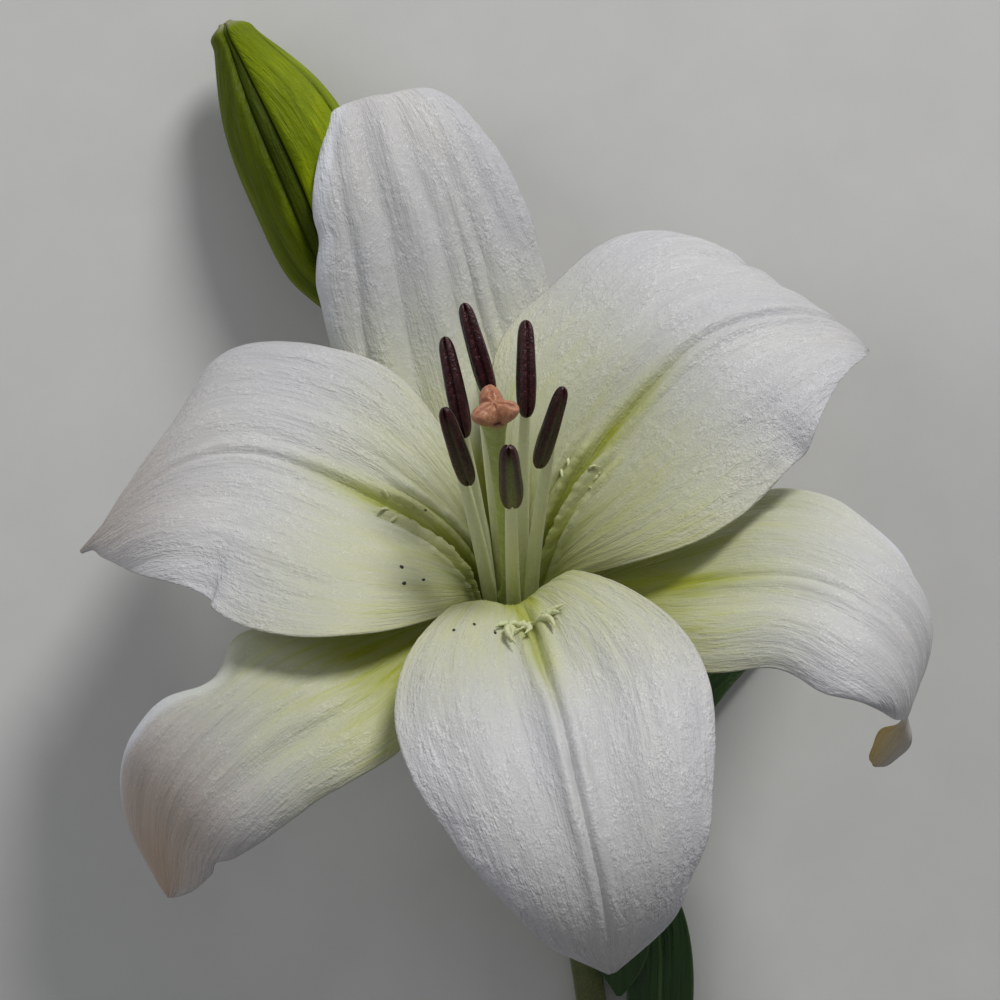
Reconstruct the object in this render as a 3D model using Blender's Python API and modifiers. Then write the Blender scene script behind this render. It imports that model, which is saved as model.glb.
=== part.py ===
"""A cut stem of a white lily, laid on its side: one open flower, one bud and a few leaves.

The flower is described about its own axis, which leans back from the vertical. A petal's middle line is
given by how far it has climbed along that axis, how far out it has gone, and its bearing around the axis.
Lengths are in millimetres until the last step, which turns them into metres.
"""

import math

import bmesh
import bpy
import numpy as np
from mathutils import Vector

MM = 0.001
GAP = 0.3  # clearance between two pieces that touch on the plant

# The flower's axis and the point where its petals are joined to the stalk.
AXIS = np.array((-0.05, 0.64, 0.77))
AXIS = AXIS / np.linalg.norm(AXIS)
RIGHT = np.array((1.0, 0.0, 0.0)) - AXIS[0] * AXIS
RIGHT = RIGHT / np.linalg.norm(RIGHT)
BACK = np.cross(AXIS, RIGHT)
HEART = np.array((0.0, 0.0, 40.0))

# Each petal: climb and outward distance at evenly spaced stations, bearings in degrees, half-widths from
# base to tip on each side, and the angles at which each side leaves the middle line and ends at its margin.
PETALS = {
    "petal_left": dict(
        climb=(0, 29, 43, 48, 41, 12),
        out=(7.2, 14, 36, 62, 88, 109),
        bearing=(160, 160, 160, 160, 162, 168),
        left=(3, 9, 38, 52, 49, 41, 22, 0.6),
        right=(3, 9, 20, 31, 37, 39, 18, 0.6),
        left_cup=(20, 20, 5, 0, 0),
        left_edge=(30, 10, -14, -22, -8),
        right_cup=(20, 20, 8, 0, 0),
        right_edge=(30, 18, 0, -20, -20),
    ),
    "petal_right": dict(
        climb=(0, 30, 50, 60, 56, 32),
        out=(7.2, 17, 42, 69, 95, 112),
        bearing=(42, 44, 43, 41, 39, 35),
        left=(3, 9, 26, 42, 50, 42, 21, 0.6),
        right=(3, 9, 31, 43, 42, 33, 16, 0.6),
        left_cup=(20, 20, 5, 0, 0),
        left_edge=(30, 10, -16, -24, -20),
        right_cup=(20, 20, 5, 0, 0),
        right_edge=(30, 10, -20, -20, -20),
    ),
    "petal_front": dict(
        climb=(0, 34, 49, 50, 38, 17),
        out=(7.2, 14, 44, 80, 104, 112),
        bearing=(282, 282, 282, 282, 282, 282),
        left=(3, 9, 17, 30, 37, 32, 25, 0.6),
        right=(3, 8, 19, 33, 37, 32, 21, 0.6),
        left_cup=(20, 15, 5, 0, 0),
        left_edge=(30, 10, -10, -30, -20),
        right_cup=(20, 8, 3, 0, 0),
        right_edge=(30, 0, -10, -30, -20),
    ),
    "sepal_back": dict(
        climb=(0, 24, 40, 64, 76, 64),
        out=(8.8, 24, 57, 88, 116, 122),
        bearing=(104, 104, 104, 104, 105, 106),
        left=(3.5, 9, 20, 28, 29, 26, 17, 0.6),
        right=(3.5, 9, 20, 29, 30, 28, 21, 0.6),
        left_cup=(10, 5, 0, 0, 0),
        left_edge=(10, 0, -30, 5, 20),
        right_cup=(10, 5, 0, 0, 0),
        right_edge=(10, 0, -20, -20, 0),
    ),
    "sepal_left": dict(
        climb=(0, 24, 35, 38, 23, -8),
        out=(8.8, 20, 45, 72, 99, 107),
        bearing=(220, 218, 218, 217, 218, 222),
        left=(3.5, 9, 18, 26, 28, 29, 20, 2),
        right=(3.5, 9, 14, 16, 17, 21, 24, 2),
        left_cup=(10, 5, 0, 0, 0),
        left_edge=(10, 0, -30, -30, -20),
        right_cup=(10, 5, 0, 0, 0),
        right_edge=(10, 0, -20, -30, -20),
    ),
    "sepal_right": dict(
        climb=(0, 22, 36, 49, 38, 1),
        out=(8.8, 20, 43, 74, 103, 97),
        bearing=(342, 342, 342, 342, 340, 334),
        left=(3.5, 9, 18, 29, 32, 24, 9, 5),
        right=(3.5, 9, 18, 25, 27, 23, 9, 5),
        left_cup=(10, 5, 0, 0, 0),
        left_edge=(10, 0, -30, -30, -20),
        right_cup=(10, 5, 0, 0, 0),
        right_edge=(10, 0, -30, -30, -20),
    ),
}
LINE_STEPS = 300
CROSS_STEPS = 40
PETAL_ROWS = 22
PETAL_COLUMNS = 8
PETAL_THICKNESS = 0.9

# Stamens: bearing, then the lower and upper end of the anther, measured from the heart of the flower.
STAMENS = {
    1: (102, (-6, 57, 45), (-11, 79, 48)),
    2: (162, (-11, 49, 48), (-16, 73, 50)),
    3: (222, (-10, 38, 50), (-16, 56, 63)),
    4: (42, (3, 53, 48), (3, 76, 48)),
    5: (342, (6, 42, 47), (12, 61, 58)),
    6: (282, (0, 33, 54), (-1, 47, 72)),
}
STAMEN_RING = 4.5
FILAMENT_BOW = 1.0
FILAMENT_LEAN = 0.45  # share of the way up where the filament bows towards the axis
FILAMENT_SHOULDER = 0.12  # share of the way back down where it bends to meet the anther
FILAMENT_ROWS = 10
FILAMENT_RADII = (1.4, 1.3, 1.2, 1.1, 0.9, 0.5)
ANTHER_RADII = (0.7, 1.7, 2.2, 2.3, 2.3, 2.3, 2.2, 1.7, 0.7)

# The pistil: distance along the axis and radius there, from ovary to stigma.
PISTIL = (
    (0.5, 2.0), (3, 2.6), (18, 2.6), (22, 1.5), (40, 1.3), (60, 1.5), (78, 1.9),
    (84, 2.4), (86.5, 4.2), (88.5, 5.4), (91, 4.6), (92, 2.2),
)  # fmt: skip

# The stem lies on the ground. It forks into the flower's stalk and the bud's stalk.
STEM = ((34, -200, 3.8), (27, -145, 3.8), (20, -90, 3.9), (14, -54, 5.0))
STEM_RADII = (3.8, 3.8, 3.8, 4.9)
STEM_ROWS = 22
STALK_ROWS = 20
NEAR_END = 0.97  # share of the stem's length where its last direction is read
FORK_APART = 2.5
FORK_GAP = 1.0
HEART_GAP = 0.6
FLOWER_STALK = ((9.5, -38, 8.5), (4, -24, 16))
FLOWER_STALK_RADII = (2.2, 2.4, 2.5, 2.7, 3.4, 9.6)
RECEPTACLE_DEPTH = 12
BUD_STALK = ((1, -30, 2.8), (-13, 8, 4.5), (-28, 50, 11.5), (-34.5, 72, 16.6))
BUD_STALK_RADII = (1.9, 2.1, 2.1, 2.2, 2.6, 5.2)

BUD_BASE = np.array((-39.0, 82.0, 16.6))
BUD_TIP = np.array((-71.0, 155.0, 15.2))
BUD_RADII = (5.0, 12.0, 15.0, 15.6, 15.2, 13.6, 10.0, 3.8)
BUD_BOW = 2.0
BUD_GAP = 1.05
BUD_TURN = 50  # degrees, where the first outer petal faces
BUD_KEEL_SPAN = 22  # degrees of the bud's girth that each inner petal's keel takes
BUD_FACET = 16  # degrees of girth between two lengthwise edges
BUD_SLACK = 0.1
BUD_RINGS = 15

# Leaves: middle line, the widest half-width, and how far the leaf folds up along its middle line.
LEAVES = {
    "leaf_1": dict(
        path=((15.5, -58, 10.0), (21.5, -64, 14.5), (27, -76, 12), (27.5, -92, 6)),
        half=9,
        fold=14,
    ),
    "leaf_2": dict(
        path=((21.6, -67, 4.3), (35, -66, 8), (38, -92, 5), (35, -142, 0.6)),
        half=8.5,
        fold=10,
    ),
    "leaf_3": dict(
        path=((21.0, -57, 5.5), (32, -38, 10), (48, -13, 7), (74, 6, 0.6)),
        half=7,
        fold=12,
    ),
    "leaf_4": dict(
        path=((17.8, -112, 4), (2, -126, 8), (-13, -150, 5), (-26, -182, 0.6)),
        half=8,
        fold=12,
    ),
    "leaf_5": dict(
        path=((31.8, -138, 4), (45, -149, 8), (54, -174, 5), (58, -204, 0.6)),
        half=8,
        fold=12,
    ),
}
LEAF_SHAPE = (0.28, 0.75, 1.0, 0.92, 0.62, 0.08)
LEAF_ROWS = 14
LEAF_COLUMNS = 4
LEAF_THICKNESS = 0.7

FINISHES = {
    "petal": ((0.86, 0.87, 0.83), 0.55),
    "filament": ((0.72, 0.78, 0.55), 0.45),
    "anther": ((0.10, 0.02, 0.02), 0.6),
    "pistil": ((0.55, 0.62, 0.30), 0.45),
    "stem": ((0.14, 0.16, 0.05), 0.5),
    "bud": ((0.22, 0.33, 0.05), 0.45),
    "leaf": ((0.03, 0.12, 0.03), 0.4),
}


def clear_scene():
    for thing in list(bpy.data.objects):
        bpy.data.objects.remove(thing)


def curve_through(values, where):
    """A smooth curve through evenly spaced values, read at places from 0 to 1."""
    values = np.asarray(values, float)
    last = len(values) - 1
    bends = np.zeros_like(values)
    if last > 1:
        ties = 4 * np.eye(last - 1) + np.eye(last - 1, k=1) + np.eye(last - 1, k=-1)
        bends[1:-1] = np.linalg.solve(ties, 6 * (values[2:] - 2 * values[1:-1] + values[:-2]))
    at = np.clip(np.asarray(where, float), 0, 1) * last
    left = np.minimum(at.astype(int), last - 1)
    share = at - left
    if values.ndim > 1:
        share = share[:, None]
    rest = 1 - share
    straight = values[left] * rest + values[left + 1] * share
    return straight + (rest**3 - rest) * bends[left] / 6 + (share**3 - share) * bends[left + 1] / 6


def unit(vectors):
    return vectors / np.linalg.norm(vectors, axis=-1, keepdims=True)


def outward(bearing):
    """The directions straight out from the flower's axis at these bearings, in degrees."""
    angle = np.radians(bearing)[..., None]
    return np.cos(angle) * RIGHT + np.sin(angle) * BACK


def evenly(points, sides, rows):
    """Reads a line, and a direction along it, at rows that are evenly spaced in length."""
    steps = np.linalg.norm(np.diff(points, axis=0), axis=1)
    length = np.concatenate(([0.0], np.cumsum(steps)))
    along = np.linspace(0, length[-1], rows)
    ahead = np.gradient(points, length, axis=0)

    def read(vectors):
        return np.stack([np.interp(along, length, vectors[:, k]) for k in range(3)], -1)

    ahead = unit(read(ahead))
    side = read(sides)
    side = unit(side - (side * ahead).sum(-1, keepdims=True) * ahead)
    return read(points), side, np.cross(side, ahead)


def half_blade(width, cup, edge):
    """How far a blade's half reaches sideways and upwards, from its middle line to its margin."""
    share = np.linspace(0, 1, CROSS_STEPS + 1)
    angle = np.radians(cup + (edge - cup) * share**2)
    middle = (angle[1:] + angle[:-1]) / 2
    sideways = np.concatenate(([0.0], np.cumsum(np.cos(middle)))) * width / CROSS_STEPS
    upwards = np.concatenate(([0.0], np.cumsum(np.sin(middle)))) * width / CROSS_STEPS
    return share, sideways, upwards


def blade_points(line, side, up, halves, columns):
    """Rows of points across a petal or leaf. halves gives (widths, cups, edges) for left and right."""
    places = np.linspace(-1, 1, columns + 1)
    rows = []
    for k in range(len(line)):
        row = []
        for place in places:
            widths, cups, edges = halves[int(place > 0)]
            share, sideways, upwards = half_blade(widths[k], cups[k], edges[k])
            reach = np.interp(abs(place), share, sideways) * (1 if place > 0 else -1)
            rise = np.interp(abs(place), share, upwards)
            row.append(line[k] + reach * side[k] + rise * up[k])
        rows.append(row)
    return rows


def material(kind):
    """One Principled material, new for each piece."""
    colour, roughness = FINISHES[kind]
    made = bpy.data.materials.new(kind)
    made.use_nodes = True
    shader = made.node_tree.nodes["Principled BSDF"]
    shader.inputs["Base Color"].default_value = (*colour, 1)
    shader.inputs["Roughness"].default_value = roughness
    shader.inputs["Metallic"].default_value = 0.0
    return made


def keep(piece, kind, parts):
    """Names the piece's finish and puts it in the plant's collection."""
    piece.data.materials.append(material(kind))
    parts.objects.link(piece)
    return piece


def sheet(name, rows, thickness, kind, parts):
    """A thin solid: a grid laid through the rows of points, thickened on both sides."""
    made = bmesh.new()
    bmesh.ops.create_grid(made, x_segments=len(rows[0]) - 1, y_segments=len(rows) - 1, size=1)
    made.verts.ensure_lookup_table()
    order = sorted(made.verts, key=lambda v: (round(v.co.y, 5), round(v.co.x, 5)))
    places = [point for row in rows for point in row]
    for vert, place in zip(order, places, strict=True):
        vert.co = Vector(place * MM)
    mesh = bpy.data.meshes.new(name)
    made.to_mesh(mesh)
    made.free()
    mesh.shade_smooth()
    piece = bpy.data.objects.new(name, mesh)
    solid = piece.modifiers.new("thickness", "SOLIDIFY")
    solid.thickness = thickness * MM
    solid.offset = 0
    return keep(piece, kind, parts)


def petal(name, shape, parts):
    fine = np.linspace(0, 1, LINE_STEPS)
    climb = curve_through(shape["climb"], fine)[:, None]
    out = curve_through(shape["out"], fine)[:, None]
    away = outward(curve_through(shape["bearing"], fine))
    points = HEART + climb * AXIS + out * away
    line, side, up = evenly(points, np.cross(away, AXIS), PETAL_ROWS)
    share = np.linspace(0, 1, PETAL_ROWS)
    halves = []
    for hand in ("left", "right"):
        parts_of_half = (shape[hand], shape[hand + "_cup"], shape[hand + "_edge"])
        halves.append([curve_through(values, share) for values in parts_of_half])
    rows = blade_points(line, side, up, halves, PETAL_COLUMNS)
    return sheet(name, rows, PETAL_THICKNESS, "petal", parts)


def leaf(name, shape, parts):
    points = curve_through(np.array(shape["path"], float), np.linspace(0, 1, LINE_STEPS))
    ahead = np.gradient(points, axis=0)
    line, side, up = evenly(points, np.cross(ahead, (0, 0, 1)), LEAF_ROWS)
    share = np.linspace(0, 1, LEAF_ROWS)
    widths = curve_through(LEAF_SHAPE, share) * shape["half"]
    fold = np.full(LEAF_ROWS, shape["fold"]) * (1 - share)
    flat = np.zeros(LEAF_ROWS)
    rows = blade_points(line, side, up, [(widths, fold, flat)] * 2, LEAF_COLUMNS)
    return sheet(name, rows, LEAF_THICKNESS, "leaf", parts)


def rod(name, points, radii, kind, parts, sides=2):
    """A round rod along a line of points, whose radius follows the evenly spaced radii."""
    line = bpy.data.curves.new(name, "CURVE")
    line.dimensions = "3D"
    line.bevel_depth = MM
    line.bevel_resolution = sides
    line.use_fill_caps = True
    line.twist_mode = "MINIMUM"
    spline = line.splines.new("POLY")
    spline.points.add(len(points) - 1)
    for spot, place, radius in zip(spline.points, points, radii, strict=True):
        spot.co = (*(np.asarray(place) * MM), 1)
        spot.radius = radius
    return keep(bpy.data.objects.new(name, line), kind, parts)


def smooth_rod(name, through, radii, count, kind, parts, sides=2):
    share = np.linspace(0, 1, count)
    points = curve_through(np.array(through, float), share)
    return rod(name, points, curve_through(radii, share), kind, parts, sides)


def stamen(number, parts):
    bearing, low, high = STAMENS[number]
    away = outward(np.array(float(bearing)))
    low = HEART + np.array(low, float)
    high = HEART + np.array(high, float)
    anther = [low + (high - low) * k / (len(ANTHER_RADII) - 1) for k in range(len(ANTHER_RADII))]
    rod(f"anther_{number}", anther, ANTHER_RADII, "anther", parts)
    foot = HEART + GAP * AXIS + STAMEN_RING * away
    length = unit(high - low)
    under = np.array((0.0, 0.0, -1.0))
    behind = unit(under - (under @ length) * length)
    top = (low + high) / 2 + behind * (max(ANTHER_RADII) + FILAMENT_RADII[-1] + GAP)
    lean = foot + (top - foot) * FILAMENT_LEAN - away * FILAMENT_BOW
    shoulder = top + (foot - top) * FILAMENT_SHOULDER + behind * FILAMENT_BOW
    route = (foot, lean, shoulder, top)
    smooth_rod(f"filament_{number}", route, FILAMENT_RADII, FILAMENT_ROWS, "filament", parts)


def pistil(parts):
    places = [HEART + distance * AXIS for distance, _ in PISTIL]
    rod("pistil", places, [radius for _, radius in PISTIL], "pistil", parts, sides=3)


def stalks(parts):
    smooth_rod("stem", STEM, STEM_RADII, STEM_ROWS, "stem", parts, sides=3)
    end = np.array(STEM[-1], float)
    ahead = unit(end - curve_through(np.array(STEM, float), np.array([NEAR_END]))[0])
    across = unit(np.cross(ahead, (0, 0, 1)))
    start = end + FORK_GAP * ahead
    neck = [HEART - RECEPTACLE_DEPTH * depth * AXIS for depth in (2, 1)]
    flower = [start + across * FORK_APART, *FLOWER_STALK, *neck, HEART - HEART_GAP * AXIS]
    bud = [start - across * FORK_APART, *BUD_STALK, BUD_BASE - BUD_GAP * unit(BUD_TIP - BUD_BASE)]
    smooth_rod("flower_stalk", flower, FLOWER_STALK_RADII, STALK_ROWS, "stem", parts, sides=3)
    smooth_rod("bud_stalk", bud, BUD_STALK_RADII, STALK_ROWS, "stem", parts)


def bud_petal(name, turn, span, parts):
    """One wedge of the closed bud. turn is where its middle faces and span is its share of the girth."""
    ahead = unit(BUD_TIP - BUD_BASE)
    across = unit(np.cross(ahead, (0, 0, 1)))
    over = np.cross(across, ahead)
    length = np.linalg.norm(BUD_TIP - BUD_BASE)
    half = math.radians(span) / 2
    steps = max(2, round(span / BUD_FACET))
    facing = math.cos(turn) * across + math.sin(turn) * over
    shift = facing * (GAP / 2 / math.sin(half) + BUD_SLACK)
    made = bmesh.new()
    rings = []
    for k in range(BUD_RINGS):
        share = k / (BUD_RINGS - 1)
        centre = BUD_BASE + ahead * length * share + shift
        centre = centre + across * BUD_BOW * math.sin(math.pi * share)
        radius = float(curve_through(BUD_RADII, np.array([share]))[0])
        ring = [made.verts.new(Vector(centre * MM))]
        for j in range(steps + 1):
            angle = turn - half + 2 * half * j / steps
            spoke = math.cos(angle) * across + math.sin(angle) * over
            ring.append(made.verts.new(Vector((centre + spoke * radius) * MM)))
        rings.append(ring)
    for low, high in zip(rings, rings[1:]):
        for j in range(len(low)):
            after = (j + 1) % len(low)
            made.faces.new((low[j], low[after], high[after], high[j]))
    made.faces.new(rings[0][::-1])
    made.faces.new(rings[-1])
    bmesh.ops.recalc_face_normals(made, faces=made.faces)
    mesh = bpy.data.meshes.new(name)
    made.to_mesh(mesh)
    made.free()
    keep(bpy.data.objects.new(name, mesh), "bud", parts)


def bud(parts):
    for k in range(3):
        turn = math.radians(BUD_TURN + 120 * k)
        bud_petal(f"bud_sepal_{k + 1}", turn, 120 - BUD_KEEL_SPAN, parts)
        bud_petal(f"bud_petal_{k + 1}", turn + math.radians(60), BUD_KEEL_SPAN, parts)


def stand_on_ground(parts):
    """Moves the plant so that the middle of its box's floor is the origin."""
    bpy.context.view_layer.update()
    graph = bpy.context.evaluated_depsgraph_get()
    corners = []
    for piece in parts.objects:
        ready = piece.evaluated_get(graph)
        mesh = ready.to_mesh()
        corners += [piece.matrix_world @ v.co for v in mesh.vertices]
        ready.to_mesh_clear()
    low = Vector([min(c[k] for c in corners) for k in range(3)])
    high = Vector([max(c[k] for c in corners) for k in range(3)])
    for piece in parts.objects:
        piece.location -= Vector(((low.x + high.x) / 2, (low.y + high.y) / 2, low.z))


def main():
    clear_scene()
    parts = bpy.data.collections.new("lily")
    bpy.context.scene.collection.children.link(parts)
    for name, shape in PETALS.items():
        petal(name, shape, parts)
    for number in STAMENS:
        stamen(number, parts)
    pistil(parts)
    stalks(parts)
    bud(parts)
    for name, shape in LEAVES.items():
        leaf(name, shape, parts)
    stand_on_ground(parts)


main()
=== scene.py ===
# %% [markdown]
# # A white lily, cut and laid down
#
# A lily flower has two rings of three petals. Botanists call the outer three sepals, though both rings are
# white. Inside stand six stamens, each a thin filament with a dark anther balanced on its tip, and in their
# middle the pistil, which ends in a sticky stigma. A second flower is still a closed green bud. The whole
# stem lies on a pale surface, and we look straight down on it.
#
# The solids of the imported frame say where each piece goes. This script gives each one its real surface.

# %% Load the fixed frame
import math

import bpy
import numpy as np
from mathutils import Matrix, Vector, noise


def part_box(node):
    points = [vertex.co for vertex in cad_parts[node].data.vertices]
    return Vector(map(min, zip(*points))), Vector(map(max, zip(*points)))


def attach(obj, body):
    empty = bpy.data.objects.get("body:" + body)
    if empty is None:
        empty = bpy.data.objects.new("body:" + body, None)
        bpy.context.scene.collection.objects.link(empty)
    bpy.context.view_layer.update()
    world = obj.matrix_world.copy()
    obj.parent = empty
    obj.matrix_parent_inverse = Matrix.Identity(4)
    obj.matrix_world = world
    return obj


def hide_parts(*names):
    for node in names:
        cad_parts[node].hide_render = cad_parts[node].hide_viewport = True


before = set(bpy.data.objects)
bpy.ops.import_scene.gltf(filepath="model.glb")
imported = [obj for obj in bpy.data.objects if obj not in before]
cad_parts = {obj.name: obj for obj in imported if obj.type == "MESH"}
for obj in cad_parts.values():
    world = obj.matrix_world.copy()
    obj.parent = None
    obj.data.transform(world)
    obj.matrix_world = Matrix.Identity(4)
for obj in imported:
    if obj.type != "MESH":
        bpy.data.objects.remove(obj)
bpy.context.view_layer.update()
print("nodes in the frame:", len(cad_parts))

# %% [markdown]
# ## Working in millimetres
#
# Plant parts are small, so every measure below is in millimetres, and turns into metres only when points
# are written into a mesh. The frame rests on the floor, so the heart of the flower, where all its petals
# meet the stalk, is found from a piece that stands at a known place from it: the anther at the back right.

# %% Units, the heart of the flower and its axis
MM = 0.001
ANTHER_FROM_HEART = np.array((3.0, 64.5, 48.0))


def middle_of(node):
    low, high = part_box(node)
    return np.array((low + high) / 2) / MM


HEART = middle_of("anther_4") - ANTHER_FROM_HEART
AXIS = np.array((-0.05, 0.64, 0.77))
AXIS = AXIS / np.linalg.norm(AXIS)
RIGHT = np.array((1.0, 0.0, 0.0)) - AXIS[0] * AXIS
RIGHT = RIGHT / np.linalg.norm(RIGHT)
BACK = np.cross(AXIS, RIGHT)
print("heart of the flower, mm:", HEART.round(1))

# %% [markdown]
# ## Tools for every piece
#
# Each piece starts as one of Blender's primitives, is shaped, and ends with its modifiers applied. An
# operator works on everything that is selected, so each step starts with nothing selected.


# %% Select nothing, read points, write points, name a piece, apply modifiers
def select_nothing():
    bpy.ops.object.select_all(action="DESELECT")


def points_of(piece):
    flat = np.empty(len(piece.data.vertices) * 3)
    piece.data.vertices.foreach_get("co", flat)
    return flat.reshape(-1, 3)


def move_points(piece, points):
    piece.data.vertices.foreach_set("co", (points * MM).ravel())
    piece.data.update()


def name_piece(piece, name):
    piece.name = name
    piece.data.name = name


def apply_modifiers(piece):
    select_nothing()
    piece.select_set(True)
    bpy.context.view_layer.objects.active = piece
    for modifier in list(piece.modifiers):
        bpy.ops.object.modifier_apply(modifier=modifier.name)


# %% [markdown]
# A material that follows the surface has to know where a point lay before the piece was bent. So each
# point keeps its flat place, in millimetres, as an attribute named "straight", and any other mask that a
# material needs is stored in the same way.


# %% Store a value or a vector on every point
def store(piece, name, values):
    kind = "FLOAT_VECTOR" if values.ndim > 1 else "FLOAT"
    field = "vector" if values.ndim > 1 else "value"
    made = piece.data.attributes.new(name, kind, "POINT")
    made.data.foreach_set(field, values.astype(np.float32).ravel())


# %% [markdown]
# Petals never change width or slope suddenly. A few measures from base to tip, joined by a natural cubic
# spline, give the same calm curves as a bent strip of wood.


# %% A smooth curve through evenly spaced values
def curve_through(values, where):
    values = np.asarray(values, float)
    last = len(values) - 1
    bends = np.zeros_like(values)
    if last > 1:
        ties = 4 * np.eye(last - 1) + np.eye(last - 1, k=1) + np.eye(last - 1, k=-1)
        bends[1:-1] = np.linalg.solve(ties, 6 * (values[2:] - 2 * values[1:-1] + values[:-2]))
    at = np.clip(np.asarray(where, float), 0, 1) * last
    left = np.minimum(at.astype(int), last - 1)
    share = at - left
    if values.ndim > 1:
        share = share[:, None]
    rest = 1 - share
    straight = values[left] * rest + values[left + 1] * share
    return straight + (rest**3 - rest) * bends[left] / 6 + (share**3 - share) * bends[left + 1] / 6


# %% Other small curves that shape everything below
def unit(vectors):
    return vectors / np.linalg.norm(vectors, axis=-1, keepdims=True)


def smooth(start, end, values):
    """Rises gently from 0 at start to 1 at end."""
    share = np.clip((values - start) / (end - start), 0, 1)
    return share * share * (3 - 2 * share)


def hump(distance, width):
    """A round ridge, 1 high where distance is 0."""
    return np.exp(-((distance / width) ** 2))


def ripple(across, along, across_size, along_size, seed):
    """Soft noise from -1 to 1, with its own size in each direction, in millimetres."""
    spots = np.stack(np.broadcast_arrays(across / across_size, along / along_size), -1).reshape(-1, 2)
    made = [noise.noise(Vector((x, y, seed))) for x, y in spots]
    return np.array(made).reshape(np.broadcast(across, along).shape)


# %% [markdown]
# ## The six petals
#
# A petal's middle line is told by how far it has climbed along the flower's axis, how far out it has gone,
# and its bearing around the axis. On each side of that line the petal has a half-width, an angle at which
# it leaves the line (its cup), and an angle at its margin. The inner petals are twice as wide as the outer
# ones, and every petal arches back at its tip.

# %% Measures of the petals, base to tip
PETALS = {
    "petal_left": dict(
        climb=(0, 29, 43, 48, 41, 12),
        out=(7.2, 14, 36, 62, 86, 109),
        bearing=(160, 160, 160, 160, 165, 168),
        left=(3, 9, 42.5, 50.5, 44.5, 37.5, 18, 0.6),
        right=(3, 9, 21, 34, 39, 42, 18, 0.6),
        left_cup=(20, 20, 5, 0, 0),
        left_edge=(30, 10, -14, -22, -8),
        right_cup=(20, 20, 8, 0, 0),
        right_edge=(30, 18, 0, -20, -20),
    ),
    "petal_right": dict(
        climb=(0, 30, 50, 60, 54.5, 36.5),
        out=(7.2, 17, 42, 69, 94.5, 108),
        bearing=(42, 44, 43, 41, 35.6, 33.2),
        left=(3, 9, 26, 40.5, 44.2, 45.0, 13, 0.5),
        right=(3, 9, 32, 41.6, 40.8, 37.5, 19.2, 0.5),
        left_cup=(20, 20, 5, 0, 0),
        left_edge=(30, 10, -16, -24, -20),
        right_cup=(20, 20, 5, 0, 0),
        right_edge=(30, 10, -20, -20, -20),
    ),
    "petal_front": dict(
        climb=(0, 34, 49, 50, 38, 17),
        out=(7.2, 14, 44, 80, 104, 112),
        bearing=(282, 282, 282, 282, 282, 282),
        left=(3, 9, 17.5, 31.3, 36.2, 32, 23, 0.6),
        right=(3, 8, 19, 33, 37, 32, 21, 0.6),
        left_cup=(20, 15, 5, 0, 0),
        left_edge=(30, 10, -10, -30, -20),
        right_cup=(20, 8, 3, 0, 0),
        right_edge=(30, 0, -10, -30, -20),
    ),
    "sepal_back": dict(
        climb=(0, 24, 40, 64, 76, 64),
        out=(8.8, 24, 57, 88, 116, 122),
        bearing=(104, 104, 104, 104, 105, 106),
        left=(3.5, 9, 20, 28, 29, 26, 17, 0.6),
        right=(3.5, 9, 20, 29, 30.5, 28, 20, 0.6),
        left_cup=(10, 5, 0, 0, 0),
        left_edge=(10, 0, -30, 5, 20),
        right_cup=(10, 5, 0, 0, 0),
        right_edge=(10, 0, -20, -20, 0),
    ),
    "sepal_left": dict(
        climb=(0, 24, 35, 38, 23, -8),
        out=(8.8, 20, 45, 72, 99, 107),
        bearing=(220, 218, 218, 217, 217, 219.5),
        left=(3.5, 9, 20, 31, 31, 29, 19.5, 4.0),
        right=(3.5, 9, 14, 17.5, 18, 21, 24, 7.5),
        left_cup=(10, 5, 0, 0, 0),
        left_edge=(10, 0, -30, -30, -20),
        right_cup=(10, 5, 0, 0, 0),
        right_edge=(10, 0, -20, -30, -20),
    ),
    "sepal_right": dict(
        climb=(0, 22, 36, 49, 38, 5),
        out=(8.8, 20, 43, 74, 103, 98),
        bearing=(342, 342, 342, 342, 338, 332.5),
        left=(3.5, 10, 22, 35.5, 31.5, 21.3, 8.6, 4.4),
        right=(3.5, 9, 18, 26.8, 24.3, 24.5, 8.6, 4.4),
        left_cup=(10, 5, 0, 0, 0),
        left_edge=(10, 0, -30, -30, -20),
        right_cup=(10, 5, 0, 0, 0),
        right_edge=(10, 0, -30, -30, -20),
    ),
}
print("petals:", ", ".join(PETALS))

# %% [markdown]
# What makes each petal its own comes next. `roll` turns a margin over, by so many degrees at stations from
# base to tip, within the outer share of the half that `roll_from` names. `ribs` are the two ridges beside
# the middle line and the furrow between them: their distance from it, height, depth and half-width, then
# the shares of the length where they start and end. `folds` are long swellings or dips: place, half-width
# and height, then where each starts and ends. `bites` are places where a margin is drawn in or let out:
# the side (-1 left, 1 right), the place, the depth and the reach. `rough` scales the finest relief.
#
# Only some petals have the rest. A `nectary` is the pair of fleshy ridges at an inner petal's foot: their
# distance from the middle line, their height and where they end. A `rim` is a strip of margin that bends
# down: its side, width and drop, then where it starts and ends. A `blunt` tip is rounded from there on, and
# a `twist` turns the blade level between two places.

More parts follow.
